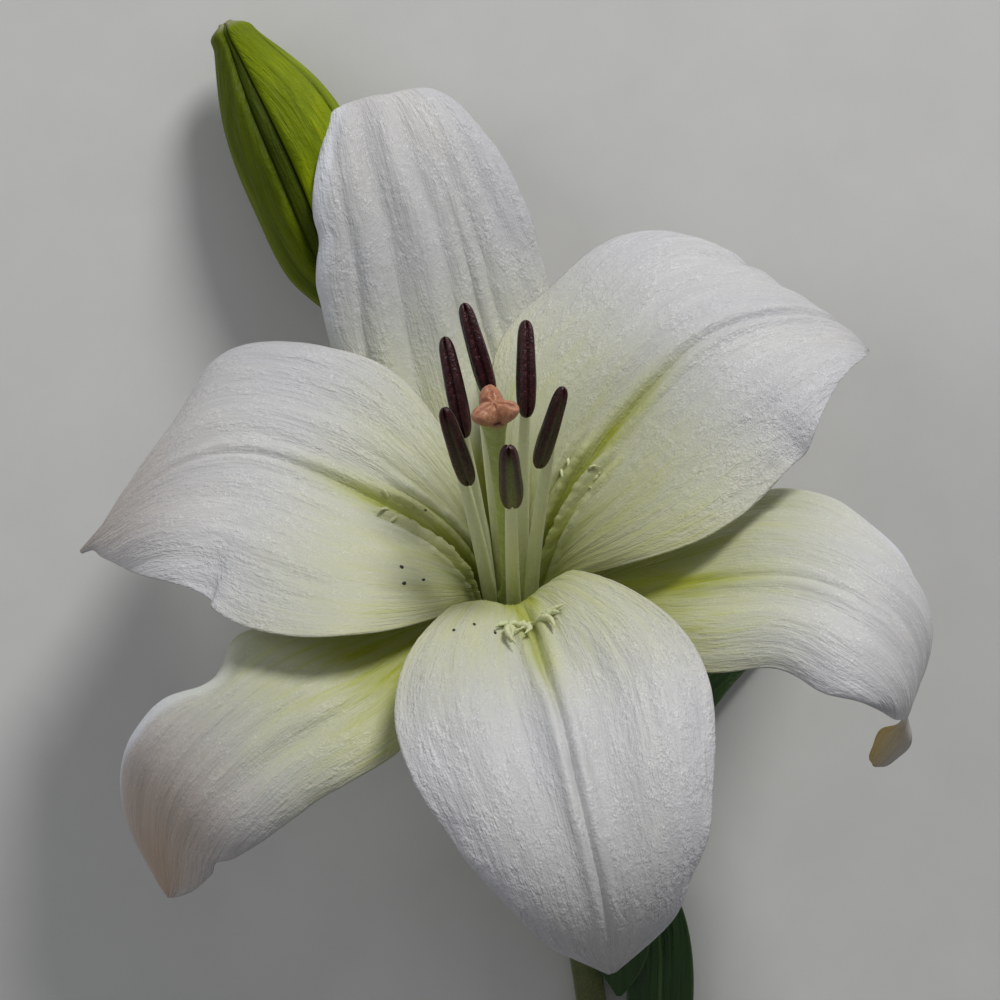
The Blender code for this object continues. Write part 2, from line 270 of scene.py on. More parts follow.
# %% The shape of each petal's surface
SURFACES = {
    "petal_left": dict(
        seed=1.0,
        rough=1.0,
        roll=((0, 0, 0, 0, 0), (0, 0, -20, -70, -30)),
        roll_from=(0.8, 0.78),
        ribs=(3.2, 0.35, 0.9, 1.6, 0.05, 0.85),
        folds=(
            (14, 5, 0.9, 0.25, 0.95), (-16, 7, -0.8, 0.2, 0.9), (-30, 6, 0.8, 0.3, 0.95),
            (17, 2, -0.8, 0.6, 1),
        ),
        bites=((1, 0.94, 9.5, 0.045), (1, 0.845, -1.2, 0.04), (-1, 0.95, 1.5, 0.03)),
        nectary=(2.8, 1.5, 0.38),
    ),
    "petal_right": dict(
        seed=2.0,
        rough=1.0,
        roll=((0, 0, 0, -40, -60), (0, 0, 0, 0, 0)),
        roll_from=(0.72, 0.85),
        ribs=(3.2, 0.9, 0.7, 1.9, 0.03, 0.98),
        folds=(
            (-12, 4, 0.8, 0.3, 0.95), (-22, 3, -0.8, 0.4, 1), (-35, 2.0, -1.8, 0.6, 1.15),
            (13, 5, -0.9, 0.2, 0.95),
        ),
        bites=((-1, 0.90, 5.0, 0.035), (-1, 0.935, 1.8, 0.03)),
        nectary=(2.8, 1.5, 0.40),
    ),
    "petal_front": dict(
        seed=3.0,
        rough=1.0,
        roll=((0, 0, 0, -10, 0), (0, 0, 0, -10, 0)),
        roll_from=(0.85, 0.85),
        ribs=(3.0, 1.2, 1.0, 1.7, 0.24, 1.0),
        folds=(
            (0, 8, -3.4, 0.08, 0.62), (11, 5.5, -1.5, 0.3, 0.98), (-12, 6, -1.6, 0.3, 0.98),
            (24, 7, 0.9, 0.3, 0.9),
        ),
        bites=((-1, 0.94, -4.2, 0.05), (1, 0.94, -3.0, 0.05)),
    ),
    "sepal_back": dict(
        seed=4.0,
        rough=0.8,
        roll=((0, 0, -15, -25, -10), (0, 0, -10, -25, -10)),
        roll_from=(0.82, 0.82),
        ribs=(3.5, 0.2, 0.0, 2.0, 0.08, 0.9),
        folds=(
            (0, 3.4, 1.5, 0.1, 1.0), (-17, 4.0, 1.4, 0.15, 1.0), (-10, 2.6, -1.5, 0.15, 1.0),
            (5.5, 2.0, -0.9, 0.2, 1.0), (12, 1.2, -1.5, 0.22, 0.78), (17, 1.6, -1.1, 0.3, 0.85),
            (-22, 1.6, -0.8, 0.3, 1.0), (26, 2.0, -0.7, 0.4, 1.0),
        ),
        rim=(-1, 6.0, 2.4, 0.35, 1.1),
        bites=((-1, 0.69, 1.3, 0.03), (-1, 0.61, -0.6, 0.03), (-1, 0.93, -1.0, 0.04)),
    ),
    "sepal_left": dict(
        seed=5.0,
        rough=0.5,
        roll=((0, 0, -30, -30, 0), (0, -5, -12, -5, 0)),
        roll_from=(0.78, 0.66),
        ribs=(3.3, 0.2, 0.1, 1.5, 0.1, 0.95),
        folds=(
            (5.5, 1.2, 0.50, 0.25, 0.85), (0, 2.2, 0.45, 0.2, 0.8), (-6.5, 1.6, 0.55, 0.25, 0.8),
            (-14, 2.6, 0.6, 0.3, 0.8), (11.5, 2.4, -0.9, 0.4, 1.0), (-19, 3, -0.8, 0.3, 0.9),
        ),
        rim=(1, 8.0, 1.4, 0.48, 0.99),
        bites=(
            (1, 0.60, 2.6, 0.045), (1, 0.52, -1.8, 0.04), (1, 0.70, -1.4, 0.05),
            (-1, 0.85, 2.0, 0.02), (1, 0.92, -3.0, 0.05),
        ),
        blunt=0.93,
    ),
    "sepal_right": dict(
        seed=6.0,
        rough=0.45,
        roll=((0, -4, -12, -14, 0), (0, 0, -15, -30, 0)),
        roll_from=(0.68, 0.78),
        ribs=(2.4, 0.25, 0.35, 1.8, 0.1, 0.85),
        folds=(
            (-26, 2.8, -0.9, 0.2, 1.0), (-13, 3.5, 0.5, 0.2, 0.9), (8, 4, -0.4, 0.2, 0.9),
            (16, 5, 0.5, 0.3, 0.9),
        ),
        rim=(-1, 6.0, 1.5, 0.26, 0.90),
        bites=(
            (-1, 0.885, 4.6, 0.035), (1, 0.885, 4.6, 0.035), (-1, 0.97, 1.2, 0.03), (1, 0.97, 1.2, 0.03),
            (-1, 0.82, -1.8, 0.05), (1, 0.78, -2.0, 0.05),
        ),
        blunt=0.955,
        twist=(0.87, 0.93),
    ),
}

# %% [markdown]
# The colours differ from petal to petal too. `glow` says where the green of the throat starts to fade and
# where it is gone, and `throat` how strong it is. `band` says how wide the green line along the middle is
# and where it ends, `rose` how much blush there is near the tip, and `tan` where a withered tip starts. A
# petal is 1 long, so a `tan` of 2 never starts.

# %% The colours of each petal
COLOURS = {
    "petal_left": dict(glow=(0.12, 0.34), throat=0.66, band=(3.8, 0.56), rose=0.50, tan=2.0),
    "petal_right": dict(glow=(0.14, 0.40), throat=0.75, band=(3.6, 0.66), rose=0.05, tan=2.0),
    "petal_front": dict(glow=(0.20, 0.37), throat=0.65, band=(3.2, 0.60), rose=0.12, tan=2.0),
    "sepal_back": dict(glow=(0.18, 0.40), throat=0.5, band=(3.0, 0.40), rose=0.10, tan=2.0),
    "sepal_left": dict(glow=(0.35, 0.48), throat=1.0, band=(4.0, 0.50), rose=0.95, tan=2.0),
    "sepal_right": dict(glow=(0.22, 0.42), throat=1.0, band=(5.0, 0.60), rose=0.15, tan=0.86),
}
ROWS = 200
COLUMNS = 140
print("petals with their own surface:", len(SURFACES))

# %% [markdown]
# ### From measures to a surface
#
# The middle line is read at rows that are evenly spaced along it, each with its own sideways and upwards
# direction. Then each half is walked from the line to the margin in small steps, each turned a little more
# than the one before, which is how a flat strip bends: its width stays true however far it curls.


# %% The middle line, at even distances
def evenly(points, sides, rows):
    steps = np.linalg.norm(np.diff(points, axis=0), axis=1)
    length = np.concatenate(([0.0], np.cumsum(steps)))
    along = np.linspace(0, length[-1], rows + 1)
    ahead = np.gradient(points, length, axis=0)

    def read(vectors):
        return np.stack([np.interp(along, length, vectors[:, k]) for k in range(3)], -1)

    ahead = unit(read(ahead))
    side = read(sides)
    side = unit(side - (side * ahead).sum(-1, keepdims=True) * ahead)
    return read(points), side, np.cross(side, ahead), along


# %% One half of the blade, walked from the middle line to the margin
def half_section(widths, cups, edges, rolls, roll_from, steps):
    share = (np.arange(steps) + 0.5) / steps
    turned = np.clip((share - roll_from) / (1 - roll_from), 0, 1) ** 1.5
    angle = cups[:, None] + (edges - cups)[:, None] * share**2 + rolls[:, None] * turned
    angle = np.radians(angle)
    step = widths[:, None] / steps
    start = np.zeros((len(widths), 1))
    sideways = np.hstack((start, np.cumsum(np.cos(angle) * step, axis=1)))
    upwards = np.hstack((start, np.cumsum(np.sin(angle) * step, axis=1)))
    return sideways, upwards


# %% Both halves, laid out as rows and columns of points
def blade(line, side, up, halves, columns):
    steps = columns // 2
    (left_out, left_up), (right_out, right_up) = [half_section(*half, steps) for half in halves]
    reach = np.hstack((-left_out[:, ::-1], right_out[:, 1:]))
    rise = np.hstack((left_up[:, ::-1], right_up[:, 1:]))
    points = line[:, None] + reach[..., None] * side[:, None] + rise[..., None] * up[:, None]
    share = np.linspace(-1, 1, columns + 1)[None, :]
    across = np.where(share < 0, halves[0][0][:, None], halves[1][0][:, None]) * share
    return points, across, np.broadcast_to(share, across.shape)


def normals_of(points):
    return unit(np.cross(np.gradient(points, axis=1), np.gradient(points, axis=0)))


# %% [markdown]
# A petal's fine relief is added along the surface's own normal: the ribs and the furrow, the long folds,
# the veins as shallow ridges, and a wavy edge. Veins spread like a fan from the narrow base and meet again
# at the tip, so they are read in `fan`, a measure across the petal that is as wide at every row.


# %% The relief of a petal
def nectary_ridges(across, part, place, last):
    """The two fleshy ridges that guard the nectar furrow of an inner petal, 1 high."""
    spread = place * (0.75 + 1.2 * part)
    near = hump(np.abs(across) - spread, 0.65)
    far = 0.5 * hump(np.abs(across) - 2.1 * spread, 0.8)
    between = 0.4 * hump(np.abs(across) - 1.55 * spread, 0.55)
    return (near + far - between) * smooth(0.06, 0.12, part) * (1 - smooth(last - 0.06, last, part))


def rim_of(across, share, part, surface):
    """How deep a place lies in the bent rim of a sepal: 0 inside its crease, 1 at the margin."""
    side, width, _, start, end = surface["rim"]
    inward = np.abs(across) * (1 / np.maximum(np.abs(share), 1e-6) - 1)
    shown = smooth(start, start + 0.12, part) * (1 - smooth(end - 0.1, end, part))
    return np.clip(1 - inward / width, 0, 1) * (share * side > 0) * shown


def relief(across, fan, share, along, length, surface):
    part = along / length
    seed = surface["seed"] * 17.3
    offset, height, depth, width, start, end = surface["ribs"]
    span = smooth(start, start + 0.12, part) * (1 - smooth(end - 0.3, end, part))
    taper = 1 - 0.45 * part
    wander = ripple(along, along * 0, 26.0, 1.0, seed) * 0.6
    middle = across - wander
    ridges = height * hump(np.abs(middle) - offset * taper, width * taper)
    raised = (ridges - depth * hump(middle, 0.8 * width * taper)) * span
    for place, width, high, first, last in surface["folds"]:
        reach = smooth(first, first + 0.25, part) * (1 - smooth(last - 0.3, last, part))
        raised = raised + high * hump(across - place * (1 - 0.5 * part**2) - 2 * wander, width) * reach
    if "nectary" in surface:
        place, high, last = surface["nectary"]
        lumps = 1 + 0.5 * ripple(across, along, 1.4, 3.6, seed + 6)
        lumps = lumps + 0.5 * ripple(across, along, 0.8, 1.1, seed + 7)
        raised = raised + high * nectary_ridges(across, part, place, last) * lumps
    if "rim" in surface:
        raised = raised - surface["rim"][2] * rim_of(across, share, part, surface) ** 1.5
    open_part = smooth(0.06, 0.3, part) * (1 - 0.65 * smooth(0.75, 1.0, part))
    throat = smooth(0.08, 0.2, part) * (1 - smooth(0.34, 0.62, part))
    edge = np.abs(share)
    rough_part = open_part * surface["rough"]
    waves = (
        # height, measure across, size across, size along, seed, where it shows
        (0.20, fan, 2.8, 40.0, 1, throat),
        (0.10, fan, 1.7, 11.0, 1, rough_part),
        (0.30, fan, 4.5, 24.0, 2, open_part),
        (0.70, fan, 17.0, 40.0, 3, open_part),
        (0.09, across, 2.0, 3.2, 4, rough_part * (0.25 + edge**2)),
        (1.10, across * 0.3, 9.0, 13.0, 5, open_part * edge**5),
    )
    for high, measure, wide, long, which, shown in waves:
        raised = raised + high * ripple(measure, along, wide, long, seed + which) * shown
    return raised


# %% [markdown]
# ### Cutting the blank and giving it thickness
#
# A grid is the natural blank for a petal. Its points are moved onto the surface by row and column. Solidify
# then gives it thickness, less at the margin than in the middle, which a vertex group tells it.


# %% A grid whose points know their row and column
def blank_sheet(name, columns, rows):
    select_nothing()
    bpy.ops.mesh.primitive_grid_add(x_subdivisions=columns, y_subdivisions=rows, size=2)
    piece = bpy.context.active_object
    name_piece(piece, name)
    flat = points_of(piece)
    column = np.rint((flat[:, 0] + 1) / 2 * columns).astype(int)
    row = np.rint((flat[:, 1] + 1) / 2 * rows).astype(int)
    return piece, row, column


# %% Thicken a sheet, thinner where the weights are small
def thicken(piece, weights, thickest):
    group = piece.vertex_groups.new(name="thickness")
    for index, weight in enumerate(weights):
        group.add([index], float(weight), "REPLACE")
    solid = piece.modifiers.new("thickness", "SOLIDIFY")
    solid.thickness = thickest * MM
    solid.offset = 0
    solid.vertex_group = group.name
    solid.use_even_offset = False
    apply_modifiers(piece)
    piece.vertex_groups.clear()
    bpy.ops.object.shade_smooth()


# %% Hand a finished piece over to the frame
def hand_over(piece, material, slot, *nodes):
    piece.data.materials.clear()
    piece.data.materials.append(material)
    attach(piece, "root")
    if nodes:
        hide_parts(*nodes)
    print(piece.name, len(piece.data.polygons), "faces")


# %% [markdown]
# ## Finishes
#
# A living surface is never one flat colour. Two effects are used all over the plant, so each is a shader
# group: `plant_veins`, streaks that run along a piece, and `plant_cells`, the fine blistered skin that makes
# a petal sparkle. Both read the flat place that is stored on the points, in millimetres, so they keep
# their size and follow every bend. `Density` sets how close the marks lie, and `Breaks` how often a vein is
# interrupted along its way. Each group gives a height for a bump and a mask for the colour.


# %% Put nodes in a tree and join them
def node(tree, kind, **settings):
    made = tree.nodes.new(kind)
    for name, value in settings.items():
        setattr(made, name, value)
    return made


def join(tree, source, target):
    tree.links.new(source, target)


def noise_node(tree, vector, scale, detail=2.0, roughness=0.5):
    made = node(tree, "ShaderNodeTexNoise")
    made.inputs["Scale"].default_value = scale
    made.inputs["Detail"].default_value = detail
    made.inputs["Roughness"].default_value = roughness
    join(tree, vector, made.inputs["Vector"])
    return made.outputs["Fac"]


def stretched(tree, vector, scale):
    made = node(tree, "ShaderNodeMapping")
    made.inputs["Scale"].default_value = scale
    join(tree, vector, made.inputs["Vector"])
    return made.outputs["Vector"]


def patches(tree, place, scale, detail=1.0, roughness=0.5):
    """Noise that is drawn out by its own amount in each direction."""
    return noise_node(tree, stretched(tree, place, scale), 1.0, detail, roughness)


def ranged(tree, value, low, high, to_low=0.0, to_high=1.0):
    made = node(tree, "ShaderNodeMapRange")
    made.inputs["From Min"].default_value = low
    made.inputs["From Max"].default_value = high
    made.inputs["To Min"].default_value = to_low
    made.inputs["To Max"].default_value = to_high
    join(tree, value, made.inputs["Value"])
    return made.outputs["Result"]


def maths(tree, operation, first, second):
    made = node(tree, "ShaderNodeMath", operation=operation)
    for socket, value in zip(made.inputs, (first, second)):
        if isinstance(value, (int, float)):
            socket.default_value = value
        else:
            join(tree, value, socket)
    return made.outputs["Value"]


# %% The veins that run along a piece
def start_group(name, inputs, outputs):
    tree = bpy.data.node_groups.new(name, "ShaderNodeTree")
    for label, kind, value in inputs:
        made = tree.interface.new_socket(label, in_out="INPUT", socket_type=kind)
        if value is not None:
            made.default_value = value
    for label, kind in outputs:
        tree.interface.new_socket(label, in_out="OUTPUT", socket_type=kind)
    return tree, node(tree, "NodeGroupInput"), node(tree, "NodeGroupOutput")


veins, veins_in, veins_out = start_group(
    "plant_veins",
    [
        ("Place", "NodeSocketVector", None),
        ("Density", "NodeSocketFloat", 1.0),
        ("Breaks", "NodeSocketFloat", 1.0),
    ],
    [("Height", "NodeSocketFloat"), ("Streak", "NodeSocketFloat")],
)
spread = node(veins, "ShaderNodeCombineXYZ")
for axis, socket in (("X", "Density"), ("Y", "Breaks"), ("Z", "Density")):
    join(veins, veins_in.outputs[socket], spread.inputs[axis])
dense = node(veins, "ShaderNodeVectorMath", operation="MULTIPLY")
join(veins, veins_in.outputs["Place"], dense.inputs[0])
join(veins, spread.outputs["Vector"], dense.inputs[1])
fine_vein = patches(veins, dense.outputs[0], (1.1, 0.035, 1.1), 2.0, 0.6)
broad_vein = patches(veins, dense.outputs[0], (0.28, 0.018, 0.28))
join(veins, ranged(veins, fine_vein, 0.3, 0.7), veins_out.inputs["Height"])
fine_streak = ranged(veins, fine_vein, 0.35, 0.7)
broad_streak = ranged(veins, broad_vein, 0.35, 0.65)
join(veins, maths(veins, "MULTIPLY", fine_streak, broad_streak), veins_out.inputs["Streak"])
print("group:", veins.name)

# %% The blistered skin of a petal
cells, cells_in, cells_out = start_group(
    "plant_cells",
    [("Place", "NodeSocketVector", None), ("Density", "NodeSocketFloat", 1.0)],
    [("Height", "NodeSocketFloat"), ("Glint", "NodeSocketFloat")],
)
closer = node(cells, "ShaderNodeVectorMath", operation="SCALE")
join(cells, cells_in.outputs["Place"], closer.inputs[0])
join(cells, cells_in.outputs["Density"], closer.inputs["Scale"])
warp = patches(cells, closer.outputs[0], (0.3, 0.12, 0.3))
blister = patches(cells, closer.outputs[0], (0.8, 0.45, 0.8), 2.0, 0.6)
grit = patches(cells, closer.outputs[0], (2.3, 1.5, 2.3), 1.0, 0.6)
patchy = maths(cells, "MULTIPLY", ranged(cells, blister, 0.3, 0.7), ranged(cells, warp, 0.3, 0.6))
join(cells, maths(cells, "ADD", maths(cells, "MULTIPLY", grit, 0.6), patchy), cells_out.inputs["Height"])
# Glint picks out fine specks: the petal and anther materials paint them lighter as painted highlights, and
# the stem and crest use them as a mottle.
join(cells, maths(cells, "MULTIPLY", ranged(cells, grit, 0.45, 0.75), patchy), cells_out.inputs["Glint"])
print("group:", cells.name)


# %% [markdown]
# Every material is then built in the same order: the place, the two groups, the colour mixed from masks,
# and the bump. The shader itself stays in the material, with its even values set on its own sockets.


# %% The parts that every material shares
def start_material(name, roughness):
    made = bpy.data.materials.new(name)
    made.use_nodes = True
    tree = made.node_tree
    shader = tree.nodes["Principled BSDF"]
    shader.inputs["Roughness"].default_value = roughness
    place = node(tree, "ShaderNodeAttribute", attribute_name="straight")
    return made, tree, shader, place.outputs["Vector"]


def use_group(tree, group, place, density, breaks=1.0):
    made = node(tree, "ShaderNodeGroup", node_tree=group)
    made.inputs["Density"].default_value = density
    if "Breaks" in made.inputs:
        made.inputs["Breaks"].default_value = breaks
    join(tree, place, made.inputs["Place"])
    return made.outputs


def mask(tree, name, factor=None):
    """A mask that is stored on the points, times a number or another mask if there is one."""
    stored = node(tree, "ShaderNodeAttribute", attribute_name=name).outputs["Fac"]
    return stored if factor is None else maths(tree, "MULTIPLY", stored, factor)


def mix(tree, share, first, second):
    made = node(tree, "ShaderNodeMix", data_type="RGBA", clamp_factor=True)
    join(tree, share, made.inputs["Factor"])
    for socket, value in ((made.inputs["A"], first), (made.inputs["B"], second)):
        if isinstance(value, tuple):
            socket.default_value = (*value, 1)
        else:
            join(tree, value, socket)
    return made.outputs["Result"]


def stacked(tree, height, other, share):
    """One height with a share of another on top of it."""
    return maths(tree, "ADD", height, maths(tree, "MULTIPLY", other, share))


def bump(tree, shader, height, distance):
    made = node(tree, "ShaderNodeBump")
    made.inputs["Strength"].default_value = 1.0
    made.inputs["Distance"].default_value = distance * MM
    join(tree, height, made.inputs["Height"])
    join(tree, made.outputs["Normal"], shader.inputs["Normal"])


def translucent(shader, weight, reach, radius=None):
    """Light enters the flesh and leaves it again within this reach, in millimetres."""
    shader.inputs["Subsurface Weight"].default_value = weight
    shader.inputs["Subsurface Scale"].default_value = reach * MM
    if radius:
        shader.inputs["Subsurface Radius"].default_value = radius


def coat(shader, weight, roughness):
    shader.inputs["Coat Weight"].default_value = weight
    shader.inputs["Coat Roughness"].default_value = roughness


# %% [markdown]
# ### Petal
#
# The petal's flesh is colourless and full of air, which scatters light as snow does, and a little sheen
# gives that soft white. Green shows where the flesh is thick and young: in the throat and along the furrow.
# Mixing through the veins keeps each change of colour ragged.

# %% The skin of the petals
petal_skin, tree, shader, place = start_material("petal_skin", 0.46)
vein = use_group(tree, veins, place, 0.9, 2.6)
cell = use_group(tree, cells, place, 1.0)
plain = mix(tree, vein["Streak"], (0.65, 0.65, 0.625), (0.76, 0.76, 0.72))
frosted = mix(tree, vein["Streak"], (0.66, 0.67, 0.715), (0.78, 0.79, 0.83))
white = mix(tree, mask(tree, "frost"), plain, frosted)
# Painted highlight: the fine glint specks are painted near-white, as glints on the white flesh.
white = mix(tree, ranged(tree, cell["Glint"], 0.0, 0.6, 0.0, 0.9), white, (0.95, 0.96, 0.98))
shaded = ranged(tree, patches(tree, place, (0.06, 0.03, 0.06)), 0.35, 0.7, 0.0, 0.45)
white = mix(tree, shaded, white, (0.63, 0.64, 0.69))
# Painted light: the bent rim of a sepal is painted lighter and bluer, where the margin catches the lamp.
white = mix(tree, mask(tree, "rim", 0.8), white, (0.82, 0.84, 0.91))
ragged = ranged(tree, vein["Streak"], 0.0, 1.0, 0.70, 1.3)
cream = mix(tree, mask(tree, "cream", ragged), white, (0.58, 0.61, 0.21))
green = mix(tree, mask(tree, "green", ragged), cream, (0.40, 0.44, 0.030))
# Painted shade: the deep mask darkens the very bottom of the throat to a dark green, where shade falls.
green = mix(tree, mask(tree, "deep", ragged), green, (0.12, 0.16, 0.012))
rosy = mix(tree, mask(tree, "rose"), green, (0.48, 0.34, 0.24))
join(tree, mix(tree, mask(tree, "tan"), rosy, (0.86, 0.62, 0.20)), shader.inputs["Base Color"])
join(tree, ranged(tree, cell["Glint"], 0.0, 1.0, 0.52, 0.34), shader.inputs["Roughness"])
crisp = maths(tree, "MULTIPLY", cell["Height"], mask(tree, "crisp"))
bump(tree, shader, stacked(tree, crisp, vein["Height"], 0.45), 0.31)
shader.inputs["Sheen Weight"].default_value = 0.08
print("material:", petal_skin.name)

# %% [markdown]
# ### Making the six petals
#
# Now each petal is cut, bent and thickened. Its masks are worked out from the place on the petal: green in
# the throat and along the furrow, a `deep` dark green at the very bottom that is painted shade, cream around
# it, a `frost` that cools the white towards the margin, a `rim` that paints a bent margin lighter and bluer
# as painted light, and a skin that grows crisper towards the margin too.

# %% Bend each petal and store its masks
NARROWEST = 0.3
PETAL_THICKNESS = 1.0
surfaces = {}


def petal_masks(across, share, along, length, surface, colours):
    part = along / length
    edge = np.abs(share)
    band_width, band_end = colours["band"]
    fading, gone = colours["glow"]
    band = hump(across, band_width * (1 - 0.5 * part)) * (1 - smooth(band_end * 0.6, band_end, part))
    strength = colours["throat"]
    throat = strength * (1 - smooth(fading, gone, part))
    if "nectary" in surface:
        place, _, last = surface["nectary"]
        throat = throat * (1 - 0.8 * nectary_ridges(across, part, place, last))
    rose = colours["rose"] * smooth(0.55, 0.95, part) * (1 - 0.7 * edge**2) + 0.08 * edge**6
    rim = rim_of(across, share, part, surface) if "rim" in surface else 0 * part
    beside = hump(across, 2.8 * band_width * (1 - 0.5 * part))
    beside = beside * (1 - smooth(band_end * 0.55, band_end, part))
    around = (1 - smooth(gone * 0.8, gone * 1.65, part)) * (0.25 + 0.6 * strength)
    return {
        # deep is painted shade: dark green at the bottom of the throat, fading towards the margins.
        "deep": 0.85 * (1 - smooth(0.10, 0.26, part)) * (1 - smooth(0.2, 0.8, edge)),
        "green": np.clip(0.8 * band + 0.95 * throat, 0, 1),
        "cream": np.maximum(around, 0.95 * beside),
        "rose": rose * (1 - smooth(0.0, 0.4, rim)),
        "tan": smooth(colours["tan"], colours["tan"] + 0.06, part) * (0.55 + 0.45 * share),
        "crisp": surface["rough"] * (0.3 + 0.7 * smooth(0.2, 0.5, part) * (0.45 + 0.55 * edge)),
        "frost": np.clip(smooth(0.3, 0.8, part) * 0.5 + 0.5 * smooth(0.5, 0.95, edge) + rim, 0, 1),
        # rim is painted light: the bent margin is painted lighter and bluer.
        "rim": smooth(0.05, 0.45, rim),
    }


def half_of(shape, surface, hand, part):
    """The half-widths of one side with their bites, its angles and its roll."""
    k = ("left", "right").index(hand)
    widths, cups, edges = (curve_through(shape[hand + kind], part) for kind in ("", "_cup", "_edge"))
    for which, place, depth, reach in surface["bites"]:
        if which == (-1, 1)[k]:
            widths = widths - depth * hump(part - place, reach)
    if "blunt" in surface:
        end = np.clip((part - surface["blunt"]) / (1 - surface["blunt"]), 0, 1)
        widths = widths * (0.1 + 0.9 * np.sqrt(1 - end**2))
    widths = np.maximum(widths, NARROWEST)
    return widths, cups, edges, curve_through(surface["roll"][k], part), surface["roll_from"][k]


def petal_surface(shape, surface):
    fine = np.linspace(0, 1, 300)
    away_angle = np.radians(curve_through(shape["bearing"], fine))[:, None]
    away = np.cos(away_angle) * RIGHT + np.sin(away_angle) * BACK
    climb = curve_through(shape["climb"], fine)[:, None]
    out = curve_through(shape["out"], fine)[:, None]
    middle = HEART + climb * AXIS + out * away
    line, side, up, along = evenly(middle, np.cross(away, AXIS), ROWS)
    part = np.linspace(0, 1, ROWS + 1)
    if "twist" in surface:
        ahead = np.cross(up, side)
        level = unit(np.cross(ahead, (0, 0, 1)))
        level = level * np.sign((level * side).sum(-1).mean())
        side = unit(side + (level - side) * smooth(*surface["twist"], part)[:, None])
        up = np.cross(side, ahead)
    halves = [half_of(shape, surface, hand, part) for hand in ("left", "right")]
    points, across, share = blade(line, side, up, halves, COLUMNS)
    fan = np.where(share < 0, halves[0][0].max(), halves[1][0].max()) * share
    fan = fan + (across - fan) * 0.6 * smooth(0.55, 0.9, part)[:, None]
    along = np.broadcast_to(along[:, None], across.shape)
    length = along[-1, 0]
    raised = relief(across, fan, share, along, length, surface)
    points = points + raised[..., None] * normals_of(points)
    return dict(points=points, across=across, fan=fan, share=share, along=along, length=length)


# %% Cut, bend and thicken the six petals
for name, shape in PETALS.items():
    surface = petal_surface(shape, SURFACES[name])
    surface["normals"] = normals_of(surface["points"])
    surfaces[name] = surface
    piece, row, column = blank_sheet(name + "_blade", COLUMNS, ROWS)
    move_points(piece, surface["points"][row, column])
    across, share, along = surface["across"], surface["share"], surface["along"]
    seed = SURFACES[name]["seed"] * 50
    store(piece, "straight", np.stack((surface["fan"], along, across * 0 + seed), -1)[row, column])
    masks = petal_masks(across, share, along, surface["length"], SURFACES[name], COLOURS[name])
    for label, values in masks.items():
        store(piece, label, values[row, column])
    base = 1 - smooth(0.0, 0.12, along / surface["length"])
    weights = np.clip(0.25 + 0.75 * (1 - np.abs(share) ** 2.5) + 0.5 * base, 0, 1)
    thicken(piece, weights[row, column], PETAL_THICKNESS)
    hand_over(piece, petal_skin, "petal", name)

# %% [markdown]
# ## Rods: stem, stalks, filaments, anthers and pistil
#
# Everything that isn't a sheet is a rod with its own profile. The blank is a cylinder of length 1 whose
# long edges are cut into rings, which needs the edges themselves picked, and takes 100 cuts at the most.
# Each ring is then laid on a line, with its own width and depth, so one blank serves a thick stem as well
# as a flat filament.


# %% A cylinder cut into rings, or a sphere for a rod with round ends
MOST_CUTS = 100


def blank_rod(name, sides, rings=MOST_CUTS):
    select_nothing()
    bpy.ops.mesh.primitive_cylinder_add(vertices=sides, radius=1, depth=1, location=(0, 0, 0.5))
    piece = bpy.context.active_object
    bpy.ops.object.transform_apply(location=True)
    bpy.ops.object.mode_set(mode="EDIT")
    bpy.ops.mesh.select_mode(type="EDGE")
    bpy.ops.mesh.select_all(action="DESELECT")
    bpy.ops.object.mode_set(mode="OBJECT")
    points = points_of(piece)
    for edge in piece.data.edges:
        first, second = edge.vertices
        edge.select = bool(abs(points[first, 2] - points[second, 2]) > 0.5)
    bpy.ops.object.mode_set(mode="EDIT")
    bpy.ops.mesh.subdivide(number_cuts=rings)
    bpy.ops.object.mode_set(mode="OBJECT")
    name_piece(piece, name)
    return piece, points_of(piece)


def blank_pod(name, sides, rings):
    select_nothing()
    bpy.ops.mesh.primitive_uv_sphere_add(segments=sides, ring_count=rings, radius=1)
    piece = bpy.context.active_object
    name_piece(piece, name)
    points = points_of(piece)
    share = np.degrees(np.arccos(np.clip(-points[:, 2], -1, 1))) / 180
    around = np.hypot(points[:, 0], points[:, 1])
    around[around < 1e-4] = 1
    round_off = np.sin(np.pi * share)
    flat = np.stack((points[:, 0] / around, points[:, 1] / around, share), -1)
    flat[round_off < 1e-4, :2] = 0
    return piece, flat


def turn_of(flat):
    """The angle of each point around its rod."""
    return np.arctan2(flat[:, 1], flat[:, 0])


# %% A line with its sideways and upwards directions
def line_through(route, over, rows=240):
    fine = np.linspace(0, 1, rows)
    points = curve_through(np.array(route, float), fine)
    ahead = unit(np.gradient(points, axis=0))
    side = unit(np.cross(ahead, over))
    return points, side, np.cross(side, ahead)


def length_of(points):
    return float(np.linalg.norm(np.diff(points, axis=0), axis=1).sum())


# %% Lay the rings of a blank on a line
def lay_along(piece, flat, line, across, deep):
    """across and deep are each point's distance from the line, sideways and upwards, in millimetres."""
    points, side, up = line
    fine = np.linspace(0, 1, len(points))
    share = flat[:, 2]

    def read(vectors):
        return np.stack([np.interp(share, fine, vectors[:, k]) for k in range(3)], -1)

    placed = read(points) + across[:, None] * unit(read(side)) + deep[:, None] * unit(read(up))
    move_points(piece, placed)
    store(piece, "straight", np.stack((across, deep, share * length_of(points)), -1))
    bpy.ops.object.shade_smooth()
    select_nothing()


# %% [markdown]
# ### Anthers
#
# An anther is two long pollen sacs side by side, joined down the middle by a narrow connective. Here it is
# ripe but not yet open: dark, smooth and firm, with a furrow between the sacs and a fine line along each
# where it will split. At both ends the furrow opens into a small notch.

